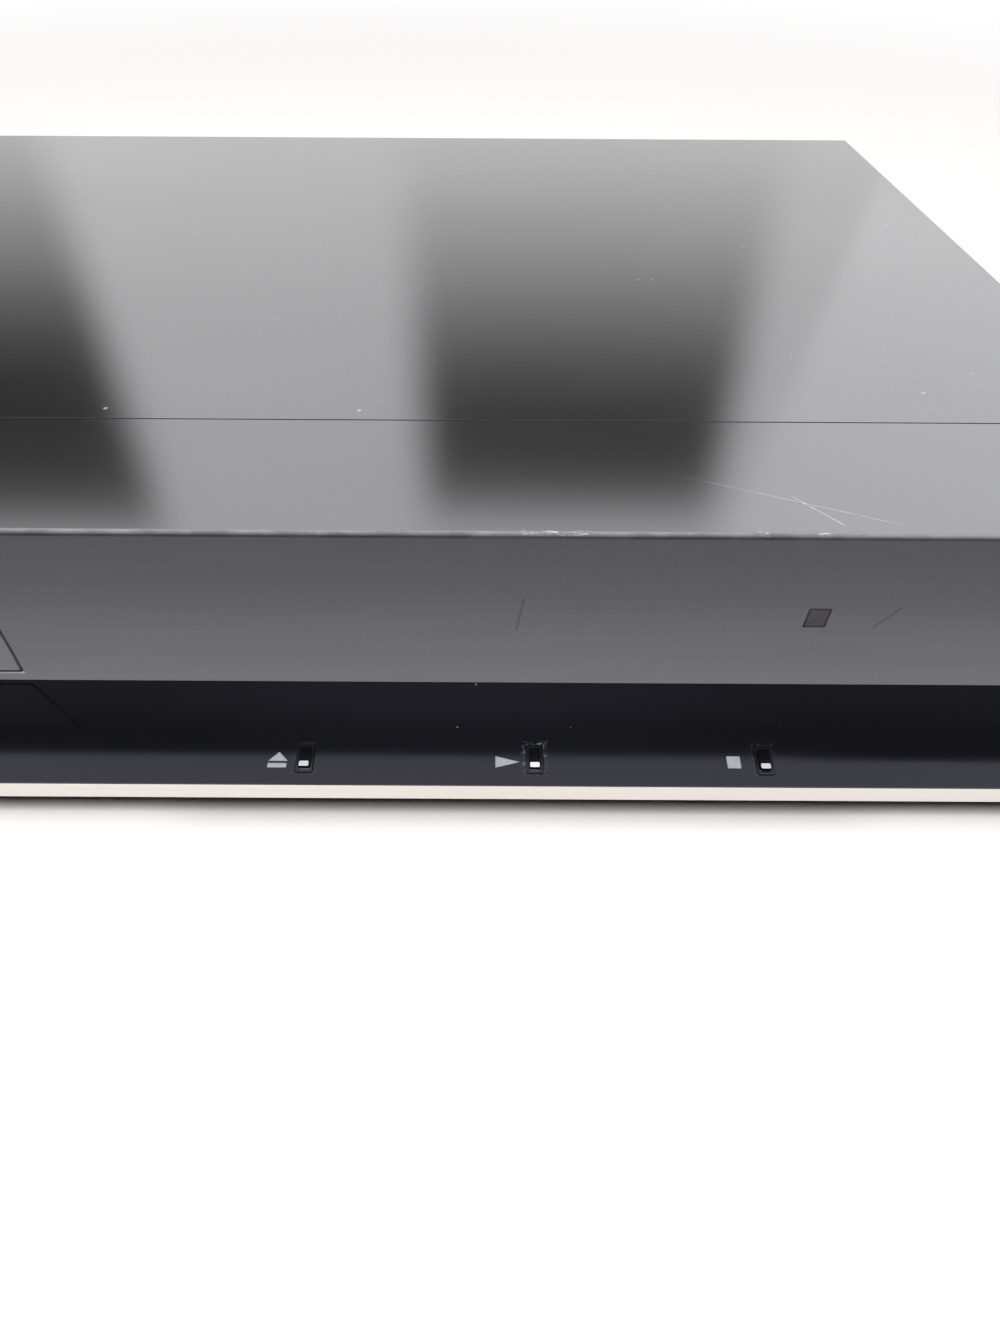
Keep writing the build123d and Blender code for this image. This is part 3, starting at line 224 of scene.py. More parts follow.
# ------------------------------------------------------------------ finishes
class Finish:
    """A procedural material, built up node by node from the object's own coordinates."""

    def __init__(self, name, colour, roughness, metallic=0.0, **sockets):
        self.material = bpy.data.materials.new(name)
        self.material.use_nodes = True
        self.tree = self.material.node_tree
        self.tree.nodes.clear()
        self.output = self.node("OutputMaterial")
        self.shader = self.node("BsdfPrincipled", Metallic=metallic, **sockets)
        self.put(self.output.inputs["Surface"], self.shader.outputs["BSDF"])
        self.place = self.node("TexCoord").outputs["Object"]
        self.colour = (*colour, 1.0)
        self.roughness = roughness
        self.height = None

    def put(self, socket, value):
        """Links a socket to the value, or sets it."""
        if isinstance(value, bpy.types.NodeSocket):
            self.tree.links.new(value, socket)
        else:
            socket.default_value = value

    def node(self, kind, **sockets):
        """A new node with some of its sockets linked or set."""
        node = self.tree.nodes.new("ShaderNode" + kind)
        for name, value in sockets.items():
            self.put(node.inputs[name.replace("_", " ")], value)
        return node

    def math(self, operation, first, second=0.0, third=0.0):
        node = self.node("Math")
        node.operation = operation
        for socket, value in zip(node.inputs, (first, second, third)):
            self.put(socket, value)
        return node.outputs[0]

    def add(self, first, second):
        return self.math("ADD", first, second)

    def minus(self, first, second):
        return self.math("SUBTRACT", first, second)

    def times(self, first, second):
        return self.math("MULTIPLY", first, second)

    def range(self, value, low, high, to_low=0.0, to_high=1.0):
        """Maps low..high smoothly onto to_low..to_high."""
        node = self.node(
            "MapRange", Value=value, From_Min=low, From_Max=high, To_Min=to_low, To_Max=to_high)
        node.interpolation_type = "SMOOTHSTEP"
        return node.outputs["Result"]

    def stretched(self, stretch):
        """The object's coordinates, the same or differently drawn out along the three axes."""
        each = stretch if isinstance(stretch, tuple) else (stretch,) * 3
        return self.node("Mapping", Vector=self.place, Scale=each).outputs["Vector"]

    def noise(self, stretch, detail=3.0, rough=0.5):
        """Cloudy noise. The stretch is in bumps per metre, for all axes or for each."""
        node = self.node(
            "TexNoise", Vector=self.stretched(stretch), Scale=1.0, Detail=detail, Roughness=rough)
        return node.outputs["Fac"]

    def cells(self, stretch, output="Distance"):
        """Scattered cells: the distance from each one's middle, or its own random colour."""
        return self.node("TexVoronoi", Vector=self.stretched(stretch), Scale=1.0).outputs[output]

    def axis(self, name):
        """One coordinate of the surface."""
        return self.node("SeparateXYZ", Vector=self.place).outputs[name]

    def facing(self, name):
        """One part of the surface's own direction."""
        normal = self.node("NewGeometry").outputs["Normal"]
        return self.node("SeparateXYZ", Vector=normal).outputs[name]

    def between(self, value, low, high, edge):
        """1 between low and high, with soft edges."""
        rise = self.range(value, low - edge, low)
        fall = self.range(value, high, high + edge, 1.0, 0.0)
        return self.times(rise, fall)

    def mix(self, blend_type, mask, colour):
        """Mixes the finish with another colour, which becomes the finish's colour."""
        node = self.node("Mix")
        node.data_type = "RGBA"
        node.blend_type = blend_type
        self.put(node.inputs["Factor"], mask)
        self.put(node.inputs["A"], self.colour)
        self.put(node.inputs["B"], colour)
        self.colour = node.outputs["Result"]

    def paint(self, colour, mask):
        """Lays a colour over the finish where the mask is 1."""
        self.mix("MIX", mask, (*colour, 1.0))

    def tint(self, mask, low, high):
        """Makes the colour darker or lighter, from low to high times as bright as the mask goes up."""
        self.mix("MULTIPLY", 1.0, self.range(mask, 0.0, 1.0, low, high))

    def rougher(self, mask, amount):
        self.roughness = self.math("MULTIPLY_ADD", mask, amount, self.roughness)

    def raised(self, mask, height):
        """Adds to the surface's relief, in metres."""
        step = self.times(mask, height)
        self.height = step if self.height is None else self.add(self.height, step)

    def line(self, across, along, start, end, width):
        """A scratch from start to end: each is (across, along) in metres."""
        length = hypot(end[0] - start[0], end[1] - start[1])
        ux, uy = (end[0] - start[0]) / length, (end[1] - start[1]) / length
        dx = self.minus(across, start[0])
        dy = self.minus(along, start[1])
        run = self.add(self.times(dx, ux), self.times(dy, uy))
        off = self.math("ABSOLUTE", self.minus(self.times(dx, uy), self.times(dy, ux)))
        return self.times(
            self.range(off, width * 0.2, width, 1.0, 0.0),
            self.between(run, 0.0, length, length * 0.12),
        )

    def arc(self, across, along, points, width):
        """A curved scratch through three points."""
        (x1, y1), (x2, y2), (x3, y3) = points
        det = 2 * (x1 * (y2 - y3) + x2 * (y3 - y1) + x3 * (y1 - y2))
        s1, s2, s3 = x1 * x1 + y1 * y1, x2 * x2 + y2 * y2, x3 * x3 + y3 * y3
        cx = (s1 * (y2 - y3) + s2 * (y3 - y1) + s3 * (y1 - y2)) / det
        cy = (s1 * (x3 - x2) + s2 * (x1 - x3) + s3 * (x2 - x1)) / det
        radius = hypot(x1 - cx, y1 - cy)
        dx = self.minus(across, cx)
        dy = self.minus(along, cy)
        off = self.math("ABSOLUTE", self.minus(self.from_middle(dx, dy), radius))
        return self.times(
            self.range(off, width * 0.2, width, 1.0, 0.0),
            self.between(across, min(x1, x3), max(x1, x3), 1.5 * MM),
        )

    def drawn_along(self, axis):
        """Spreads the shine across the grain, which runs along an axis."""
        tangent = self.node("Tangent")
        tangent.direction_type = "RADIAL"
        tangent.axis = axis
        self.put(self.shader.inputs["Tangent"], tangent.outputs["Tangent"])

    def dust(self, spacing, share, colour=(0.75, 0.75, 0.76)):
        """Small pale specks that stand on the surface."""
        per = 1.0 / spacing
        near = self.range(self.cells(per), 0.02, 0.085, 1.0, 0.0)
        pick = self.range(self.cells(per, "Color"), 1.0 - share, 1.0 - share * 0.6)
        specks = self.times(near, pick)
        self.paint(colour, self.times(specks, 0.8))
        self.rougher(specks, 0.3)

    def from_middle(self, first, second):
        """How far a point lies from the middle, from its two distances."""
        return self.math("SQRT", self.add(self.times(first, first), self.times(second, second)))

    def blend(self, mask, first, second):
        """The second shader where the mask is 1, the first where it is 0."""
        node = self.node("MixShader")
        for socket, value in zip(node.inputs, (mask, first, second)):
            self.put(socket, value)
        return node.outputs["Shader"]

    def done(self):
        """Joins everything up to the shader."""
        self.put(self.shader.inputs["Base Color"], self.colour)
        self.put(self.shader.inputs["Roughness"], self.roughness)
        if self.height is not None:
            bump = self.node("Bump", Strength=1.0, Distance=1.0, Height=self.height)
            self.put(self.shader.inputs["Normal"], bump.outputs["Normal"])
        return self.material


def satin_paint(name, colour, roughness=0.11, metallic=0.97, grain=0.02, **sockets):
    """Satin metallic paint. Its grain is a fine brushing that runs along the front."""
    paint = Finish(name, colour, roughness, metallic, Anisotropic=0.3, **sockets)
    paint.drawn_along("X")
    brushing = paint.noise((45.0, 1900.0, 1900.0), detail=3.0, rough=0.6)
    cloud = paint.noise((14.0, 22.0, 22.0), detail=2.0)
    fleck = paint.noise(2200.0, detail=1.0)
    paint.tint(brushing, 1.0 - grain, 1.0 + grain)
    paint.tint(cloud, 0.96, 1.04)
    paint.tint(fleck, 0.95, 1.05)
    paint.rougher(cloud, 0.03)
    paint.rougher(fleck, 0.02)
    paint.raised(brushing, 10e-6 * grain)
    paint.raised(fleck, 0.4e-6)
    paint.dust(1.7 * MM, 0.15, (0.62, 0.62, 0.63))
    paint.dust(7.0 * MM, 0.30, (0.62, 0.62, 0.63))
    return paint


def front_paint(settings):
    """The front panel: brushed face, worn crease with a painted shade line under it, and a scratched deck.
    """
    paint = satin_paint("Brushed grey front", settings.face_grey, **FACE_PAINT)
    x, y, z = paint.axis("X"), paint.axis("Y"), paint.axis("Z")
    on_deck = paint.range(z, TOP - 0.04 * MM, TOP - 0.01 * MM)
    on_face = paint.minus(1.0, on_deck)
    paint.paint(settings.deck_grey, on_deck)
    paint.put(paint.shader.inputs["Metallic"], paint.times(on_deck, 0.97))
    paint.rougher(on_deck, -0.39)
    # Painted shade: an uneven dark line on the face just under the crease, over its rounded edge.
    crease_shade = paint.between(z, TOP - 0.85 * MM, TOP - 0.04 * MM, 0.30 * MM)
    uneven = paint.range(paint.noise((160.0, 300.0, 300.0), detail=4.0, rough=0.6), 0.3, 0.65, 0.30, 0.60)
    paint.paint((0.035, 0.034, 0.037), paint.times(paint.times(crease_shade, uneven), on_face))
    worn = paint.range(paint.noise(900.0, detail=4.0, rough=0.7), 0.42, 0.6)
    long_arc = paint.arc(
        x, y, ((97.4 * MM, -80.05 * MM), (117.85 * MM, -88.6 * MM), (130.45 * MM, -93.9 * MM)), 0.13 * MM)
    bright_arc = paint.line(x, y, (117.9 * MM, -87.9 * MM), (122.7 * MM, -93.9 * MM), 0.16 * MM)
    scratches = paint.times(paint.add(paint.times(long_arc, 0.45), paint.times(bright_arc, 0.8)), on_deck)
    paint.paint((0.72, 0.72, 0.72), paint.times(scratches, paint.math("MULTIPLY_ADD", worn, 0.6, 0.4)))
    dark_marks = paint.add(
        paint.times(paint.line(x, z, (133.0 * MM, 23.3 * MM), (135.7 * MM, 27.5 * MM), 0.16 * MM), 0.5),
        paint.times(paint.line(x, z, (79.1 * MM, 22.8 * MM), (80.0 * MM, 28.9 * MM), 0.30 * MM), 0.28),
    )
    paint.paint((0.03, 0.03, 0.035), paint.times(dark_marks, on_face))
    chipped = 0.0
    for left, right, edge in ((79.8, 88.4, 1.0), (111.2, 112.3, 0.4), (119.2, 120.4, 0.4)):
        chipped = paint.add(chipped, paint.between(x, left * MM, right * MM, edge * MM))
    near_crease = paint.between(y, CREASE + 0.05 * MM, CREASE + 0.55 * MM, 0.2 * MM)
    high = paint.range(z, TOP - 0.5 * MM, TOP - 0.2 * MM)
    flakes = paint.range(paint.noise((800.0, 3200.0, 3200.0), detail=4.0, rough=0.7), 0.52, 0.59)
    chips = paint.times(paint.times(chipped, flakes), paint.times(near_crease, high))
    paint.paint((0.62, 0.62, 0.61), paint.times(chips, 0.8))
    paint.rougher(chips, 0.2)
    return paint.done()


def ledge_gloss(settings):
    """Gloss black with fine hairlines, dust, and worn rings round the keys' holes."""
    gloss = Finish("Gloss black ledge", settings.ledge_black, 0.07, IOR=1.62, Specular_Tint=COOL_SHINE)
    x, y = gloss.axis("X"), gloss.axis("Y")
    gloss.raised(gloss.minus(y, FRONT), LEDGE_LEAN)
    grain = gloss.noise((25.0, 1800.0, 900.0), detail=3.0, rough=0.6)
    smear = gloss.noise((30.0, 60.0, 60.0), detail=3.0)
    gloss.tint(grain, 0.8, 1.25)
    gloss.rougher(smear, 0.05)
    gloss.rougher(grain, 0.02)
    gloss.raised(grain, 0.25e-6)
    flecks = gloss.range(gloss.noise(1700.0, detail=4.0, rough=0.75), 0.52, 0.66)
    broken = gloss.range(gloss.noise(900.0, detail=3.0), 0.46, 0.60)
    for key, amount in KEY_WEAR.items():
        centre = middle(key)
        across = gloss.minus(gloss.math("ABSOLUTE", gloss.minus(x, centre.x)), WEAR_HALF_WIDTH)
        along = gloss.minus(gloss.math("ABSOLUTE", gloss.minus(y, centre.y)), WEAR_HALF_LENGTH)
        out = gloss.math("MAXIMUM", across, along)
        ring = gloss.times(gloss.between(out, 0.04 * MM, 0.12 * MM, 0.10 * MM), broken)
        halo = gloss.times(gloss.range(out, 0.1 * MM, 1.0 * MM, 1.0, 0.0), flecks)
        wear = gloss.add(gloss.times(ring, 0.22), gloss.times(halo, 0.30))
        gloss.paint((0.36, 0.37, 0.42), gloss.times(wear, amount))
    gloss.dust(2.6 * MM, 0.16, (0.30, 0.30, 0.32))
    return gloss.done()


def pale_metal(settings):
    """Satin plated strip, drawn along its length."""
    strip = Finish("Pale plated strip", settings.trim_cream, 0.32, metallic=0.75, Anisotropic=0.4)
    drawn = strip.noise((12.0, 1500.0, 2400.0), detail=3.0, rough=0.6)
    cloud = strip.noise((9.0, 30.0, 30.0), detail=2.0)
    strip.tint(drawn, 0.96, 1.03)
    strip.tint(cloud, 0.96, 1.03)
    strip.rougher(drawn, 0.08)
    strip.raised(drawn, 0.5e-6)
    nicks = strip.range(strip.noise(500.0, detail=4.0, rough=0.75), 0.70, 0.76)
    strip.paint((0.30, 0.27, 0.23), strip.times(nicks, 0.7))
    return strip.done()


def painted_steel(settings):
    """Satin painted sheet of the top cover: the deck's grey with a fine even texture."""
    sheet = satin_paint("Painted steel cover", settings.deck_grey)
    pebble = sheet.noise(1500.0, detail=2.0)
    sheet.raised(pebble, 0.6e-6)
    return sheet.done()


def plated_steel(name, colour, spangle=0.10, roughness=0.36):
    """Plated steel: soft spangle, rolling marks and faint stains."""
    steel = Finish(name, colour, roughness, metallic=1.0)
    crystal = steel.cells(170.0, "Color")
    rolled = steel.noise((20.0, 1400.0, 1400.0), detail=3.0, rough=0.6)
    stain = steel.noise(26.0, detail=4.0)
    steel.tint(crystal, 1.0 - spangle, 1.0 + spangle)
    steel.tint(rolled, 0.95, 1.05)
    steel.tint(stain, 0.90, 1.06)
    steel.rougher(stain, 0.16)
    steel.rougher(crystal, 0.05)
    steel.raised(rolled, 0.5e-6)
    return steel.done()


def moulded_plastic(name, colour, roughness=0.5, relief=1.5e-6, **sockets):
    """Moulded plastic with a fine spark-eroded texture and handling marks."""
    plastic = Finish(name, colour, roughness, **sockets)
    pebble = plastic.noise(1300.0, detail=2.0)
    flow = plastic.noise(35.0, detail=3.0)
    plastic.tint(pebble, 0.90, 1.10)
    plastic.tint(flow, 0.92, 1.08)
    plastic.rougher(flow, 0.14)
    plastic.rougher(pebble, 0.06)
    plastic.raised(pebble, relief)
    plastic.dust(3.5 * MM, 0.10, tuple(min(1.0, c * 0.6 + 0.25) for c in colour))
    return plastic.done()


def circuit_board(name, colour, traces, pads, pitch):
    """A board with copper traces under its lacquer, tinned pads and small parts' footprints."""
    board = Finish(name, colour, 0.38, Specular_IOR_Level=0.5)
    per = 1.0 / pitch
    black, white = (0.0, 0.0, 0.0, 1.0), (1.0, 1.0, 1.0, 1.0)
    grid = board.node(
        "TexBrick", Vector=board.stretched(per), Scale=1.0, Mortar_Size=0.16, Brick_Width=2.4,
        Row_Height=0.6, Color1=black, Color2=black, Mortar=white)
    patch = board.range(board.noise(90.0, detail=1.0), 0.47, 0.50)
    track = board.times(grid.outputs["Color"], patch)
    board.paint(traces, track)
    board.raised(track, 20e-6)
    spots = 0.7 * per
    land = board.range(board.cells(spots), 0.13, 0.17, 1.0, 0.0)
    chosen = board.range(board.cells(spots, "Color"), 0.55, 0.6)
    pad = board.times(land, chosen)
    board.paint(pads, pad)
    board.raised(pad, 60e-6)
    board.rougher(pad, -0.12)
    weave = board.noise(700.0, detail=2.0)
    board.tint(weave, 0.92, 1.08)
    return board.done()


def rubber(name):
    """Black rubber with a dull bloom."""
    soft = Finish(name, (0.022, 0.022, 0.022), 0.78)
    bloom = soft.noise(120.0, detail=4.0)
    grit = soft.noise(1800.0, detail=2.0)
    soft.tint(bloom, 0.8, 1.4)
    soft.rougher(bloom, 0.12)
    soft.raised(grit, 3e-6)
    return soft.done()


def ink(settings):
    """Screen-printed ink with slightly ragged cover."""
    print_ink = Finish("Printed ink", settings.print_grey, 0.5)
    thin = print_ink.noise(1500.0, detail=3.0)
    print_ink.tint(thin, 0.86, 1.10)
    print_ink.rougher(thin, 0.1)
    return print_ink.done()


def inlay_painted_highlight(settings):
    """Pale plastic of the inlays, whose pale colour is painted highlight on each key's nub. Mottled, and
    darker on the eject and stop inlays.
    """
    pale = Finish("Painted highlight inlay", settings.inlay_highlight_pale, 0.42)
    rubbed = pale.noise(1400.0, detail=3.0)
    pale.tint(rubbed, 0.82, 1.10)
    x = pale.axis("X")
    # Painted highlight: dimmer on the eject and stop inlays.
    dull = 0.0
    for inlay, amount in (("eject_inlay", 1.0), ("stop_inlay", 1.8)):
        centre = middle(inlay).x
        here = pale.between(x, centre - 2 * MM, centre + 2 * MM, 1 * MM)
        dull = pale.add(dull, pale.times(here, amount))
    pale.tint(dull, 1.0, 0.75)
    pale.rougher(rubbed, 0.1)
    return pale.done()


def key_plastic(settings):
    """Black keys: glossy as the ledge round their foot, duller on the raised part."""
    black = Finish("Black keys", settings.key_black, 0.10, IOR=1.62, Specular_Tint=COOL_SHINE)
    y, z = black.axis("Y"), black.axis("Z")
    ledge = black.math("MULTIPLY_ADD", black.minus(y, FRONT), tan(LEDGE_SLOPE), LEDGE_EDGE)
    above_ledge = black.minus(z, ledge)
    on_nub = black.range(above_ledge, 0.15 * MM, 0.30 * MM)
    black.put(black.shader.inputs["Specular IOR Level"], black.math("MULTIPLY_ADD", on_nub, -0.36, 0.50))
    rubbed = black.noise(1600.0, detail=3.0)
    black.tint(rubbed, 0.7, 1.5)
    black.rougher(rubbed, 0.08)
    black.raised(rubbed, 2e-6)
    return black.done()


def smoke_window():
    """The dark window over the remote receiver, darker towards its rim."""
    smoke = Finish("Smoke window", (0.190, 0.182, 0.200), 0.34)
    x, z = smoke.axis("X"), smoke.axis("Z")
    rim, edge = 0.45 * MM, 0.30 * MM
    inside = smoke.times(
        smoke.between(x, WINDOW_LOW.x + rim, WINDOW_HIGH.x - rim, edge),
        smoke.between(z, WINDOW_LOW.z + rim, WINDOW_HIGH.z - rim, edge),
    )
    smoke.paint((0.060, 0.058, 0.064), smoke.minus(1.0, inside))
    haze = smoke.noise(420.0, detail=2.0)
    smoke.tint(haze, 0.7, 1.25)
    return smoke.done()


def glass_lens():
    """The coated lens."""
    lens = Finish("Coated lens", (0.62, 0.70, 0.86), 0.03, Transmission_Weight=0.6, IOR=1.52)
    coat = lens.noise(300.0, detail=2.0)
    lens.tint(coat, 0.85, 1.1)
    return lens.done()


def jack_metal():
    """Plated sockets with an insulating ring each: yellow, white and red."""
    jack = Finish("Sockets and rings", (0.66, 0.53, 0.26), 0.28, metallic=0.9)
    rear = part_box("phono_jacks")[1].y
    x, y, z = jack.axis("X"), jack.axis("Y"), jack.axis("Z")
    grain = jack.noise(900.0, detail=2.0)
    reach = 0.48 * JACK_PITCH
    for number, colour in enumerate(((0.80, 0.56, 0.05), (0.72, 0.72, 0.70), (0.55, 0.03, 0.03))):
        centre = JACK_FIRST + number * JACK_PITCH
        here = jack.between(x, centre - reach, centre + reach, 0.05 * MM)
        off = jack.from_middle(jack.minus(x, centre), jack.minus(z, JACK_HEIGHT))
        ring = jack.between(off, 1.7 * MM, 3.3 * MM, 0.05 * MM)
        end = jack.range(y, rear - 0.5 * MM, rear - 0.3 * MM)
        jack.paint(colour, jack.times(jack.times(here, ring), end))
    jack.tint(grain, 0.93, 1.07)
    jack.rougher(grain, 0.08)
    return jack.done()


def wound_core():
    """Windings in amber tape between dark laminations."""
    core = Finish("Wound core", (0.34, 0.19, 0.05), 0.40)
    low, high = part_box("transformer")
    z = core.axis("Z")
    layers = core.noise((8.0, 8.0, 2600.0), detail=1.0)
    core.tint(layers, 0.80, 1.15)
    core.raised(layers, 12e-6)
    third = (high.z - low.z) / 3
    yoke = core.add(
        core.range(z, low.z + 0.7 * third, low.z + 0.7 * third + 0.2 * MM, 1.0, 0.0),
        core.range(z, high.z - 0.7 * third - 0.2 * MM, high.z - 0.7 * third),
    )
    core.paint((0.030, 0.030, 0.033), yoke)
    core.rougher(yoke, 0.2)
    return core.done()


def sleeved_can(name, sleeve, node):
    """A capacitor: plastic sleeve with a pale stripe, and an aluminium end."""
    can = Finish(name, sleeve, 0.35)
    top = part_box(node)[1].z
    z = can.axis("Z")
    grain = can.noise(900.0, detail=2.0)
    can.tint(grain, 0.92, 1.08)
    stripe = can.range(can.facing("X"), 0.86, 0.88)
    can.paint((0.60, 0.60, 0.62), stripe)
    end = can.range(z, top - 0.3 * MM, top - 0.2 * MM)
    can.paint((0.66, 0.66, 0.67), end)
    return can.done()


def chip_top():
    """The main chip: dull black with a fine grit."""
    chip = Finish("Main chip", (0.018, 0.018, 0.020), 0.55)
    grit = chip.noise(2200.0, detail=2.0)
    chip.tint(grit, 0.8, 1.25)
    chip.raised(grit, 3e-6)
    return chip.done()


def shared_finish(name, inner):
    """A finish that more than one operator uses, made when it is first asked for."""
    make, *details = {
        "Dark grey moulding": (moulded_plastic, inner.frame_grey, 0.5),
        "Black moulding": (moulded_plastic, inner.tray_black, 0.42),
        "Plated steel": (plated_steel, inner.steel),
        "Cast alloy": (plated_steel, (0.62, 0.62, 0.63), 0.06, 0.42),
    }[name]
    return bpy.data.materials.get(name) or make(name, *details)


# ------------------------------------------------------------------ modelling
def select_none():
    """Deselects everything."""
    for other in bpy.context.view_layer.objects:
        other.select_set(False)


def select_only(piece):
    """Selects and activates one piece alone."""
    select_none()
    piece.select_set(True)
    bpy.context.view_layer.objects.active = piece


def apply_all(piece):
    """Applies a piece's modifiers in their order."""
    select_only(piece)
    for modifier in list(piece.modifiers):
        bpy.ops.object.modifier_apply(modifier=modifier.name)


def smooth(piece, angle=32.0):
    """Smooth shading that keeps flat faces flat."""
    select_only(piece)
    bpy.ops.object.shade_smooth_by_angle(angle=radians(angle))
    even = piece.modifiers.new("even shading", "WEIGHTED_NORMAL")
    even.keep_sharp = True
    apply_all(piece)


def rounded_copy(node, name, body, width, finish, segments=2):
    """A copy of a node with softened edges. It stands for the node."""
    piece = bpy.data.objects.new(name, frame["nodes"][node].data.copy())
    bpy.context.scene.collection.objects.link(piece)
    piece.data.materials.clear()
    piece.data.materials.append(finish)
    select_only(piece)
    bpy.ops.mesh.customdata_custom_splitnormals_clear()
    bpy.ops.object.mode_set(mode="EDIT")
    bpy.ops.mesh.select_all(action="SELECT")
    bpy.ops.mesh.remove_doubles(threshold=1e-6)
    bpy.ops.mesh.dissolve_limited(angle_limit=radians(0.5))
    bpy.ops.object.mode_set(mode="OBJECT")
    edges = piece.modifiers.new("edges", "BEVEL")
    edges.width = width
    edges.segments = segments
    edges.limit_method = "ANGLE"
    edges.angle_limit = radians(38.0)
    apply_all(piece)
    smooth(piece)
    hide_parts(node)
    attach(piece, body)
    return piece


def give(finish, *nodes):
    """Gives the nodes' own solids a finish."""
    for node in nodes:
        solid = frame["nodes"][node]
        if solid.material_slots:
            for slot in solid.material_slots:
                slot.material = finish
        else:
            solid.data.materials.append(finish)


def on_ledge(x, back):
    """A point on the ledge, the distance back behind its front edge."""
    return Vector((x, FRONT + back * cos(LEDGE_SLOPE), LEDGE_EDGE + back * sin(LEDGE_SLOPE)))


def new_piece(name):
    """Names the primitive that was just added."""
    piece = bpy.context.view_layer.objects.active
    piece.name = name
    piece.data.name = name
    return piece


def leave_in_mesh(piece):
    """Moves a piece's place, turn and size into its mesh."""
    select_only(piece)
    bpy.ops.object.transform_apply(location=True, rotation=True, scale=True)


def lay_on_ledge(piece, x, back):
    """Turns a flat piece to the ledge's slope and lays it in its place."""
    piece.rotation_euler.x = LEDGE_SLOPE
    piece.location = on_ledge(x, back)
    leave_in_mesh(piece)


def sign_bar(name, width, length, height, corner):
    """A thin rounded bar of ink."""
    select_none()
    bpy.ops.mesh.primitive_cube_add(size=1.0, location=(0, 0, 0))
    piece = new_piece(name)
    piece.scale = (width, length, height)
    leave_in_mesh(piece)
    round_upright_edges(piece, corner)
    return piece


def sign_triangle(name, base, rise, height, corner, turn):
    """A thin rounded triangle of ink. With no turn, it points to the rear."""
    select_none()
    bpy.ops.mesh.primitive_cylinder_add(vertices=3, radius=1.0, depth=height, location=(0, 0, 0))
    piece = new_piece(name)
    piece.scale = (base / sqrt(3.0), rise / 1.5, 1.0)
    piece.location.y = -rise / 6
    leave_in_mesh(piece)
    piece.rotation_euler.z = turn
    leave_in_mesh(piece)
    outwards(piece)
    round_upright_edges(piece, corner)
    return piece


def outwards(piece):
    """Turns all faces outwards."""
    select_only(piece)
    bpy.ops.object.mode_set(mode="EDIT")
    bpy.ops.mesh.select_all(action="SELECT")
    bpy.ops.mesh.normals_make_consistent(inside=False)
    bpy.ops.object.mode_set(mode="OBJECT")


def round_upright_edges(piece, corner):
    """Rounds the corners of a flat sign."""
    select_only(piece)
    bpy.ops.object.mode_set(mode="EDIT")
    bpy.ops.mesh.select_all(action="DESELECT")
    bpy.ops.object.mode_set(mode="OBJECT")
    points = piece.data.vertices
    for edge in piece.data.edges:
        first, second = (points[i].co for i in edge.vertices)
        edge.select = abs(first.x - second.x) < 1e-7 and abs(first.y - second.y) < 1e-7
    bpy.ops.object.mode_set(mode="EDIT")
    bpy.ops.mesh.bevel(offset=corner, segments=3, affect="EDGES")
    bpy.ops.object.mode_set(mode="OBJECT")


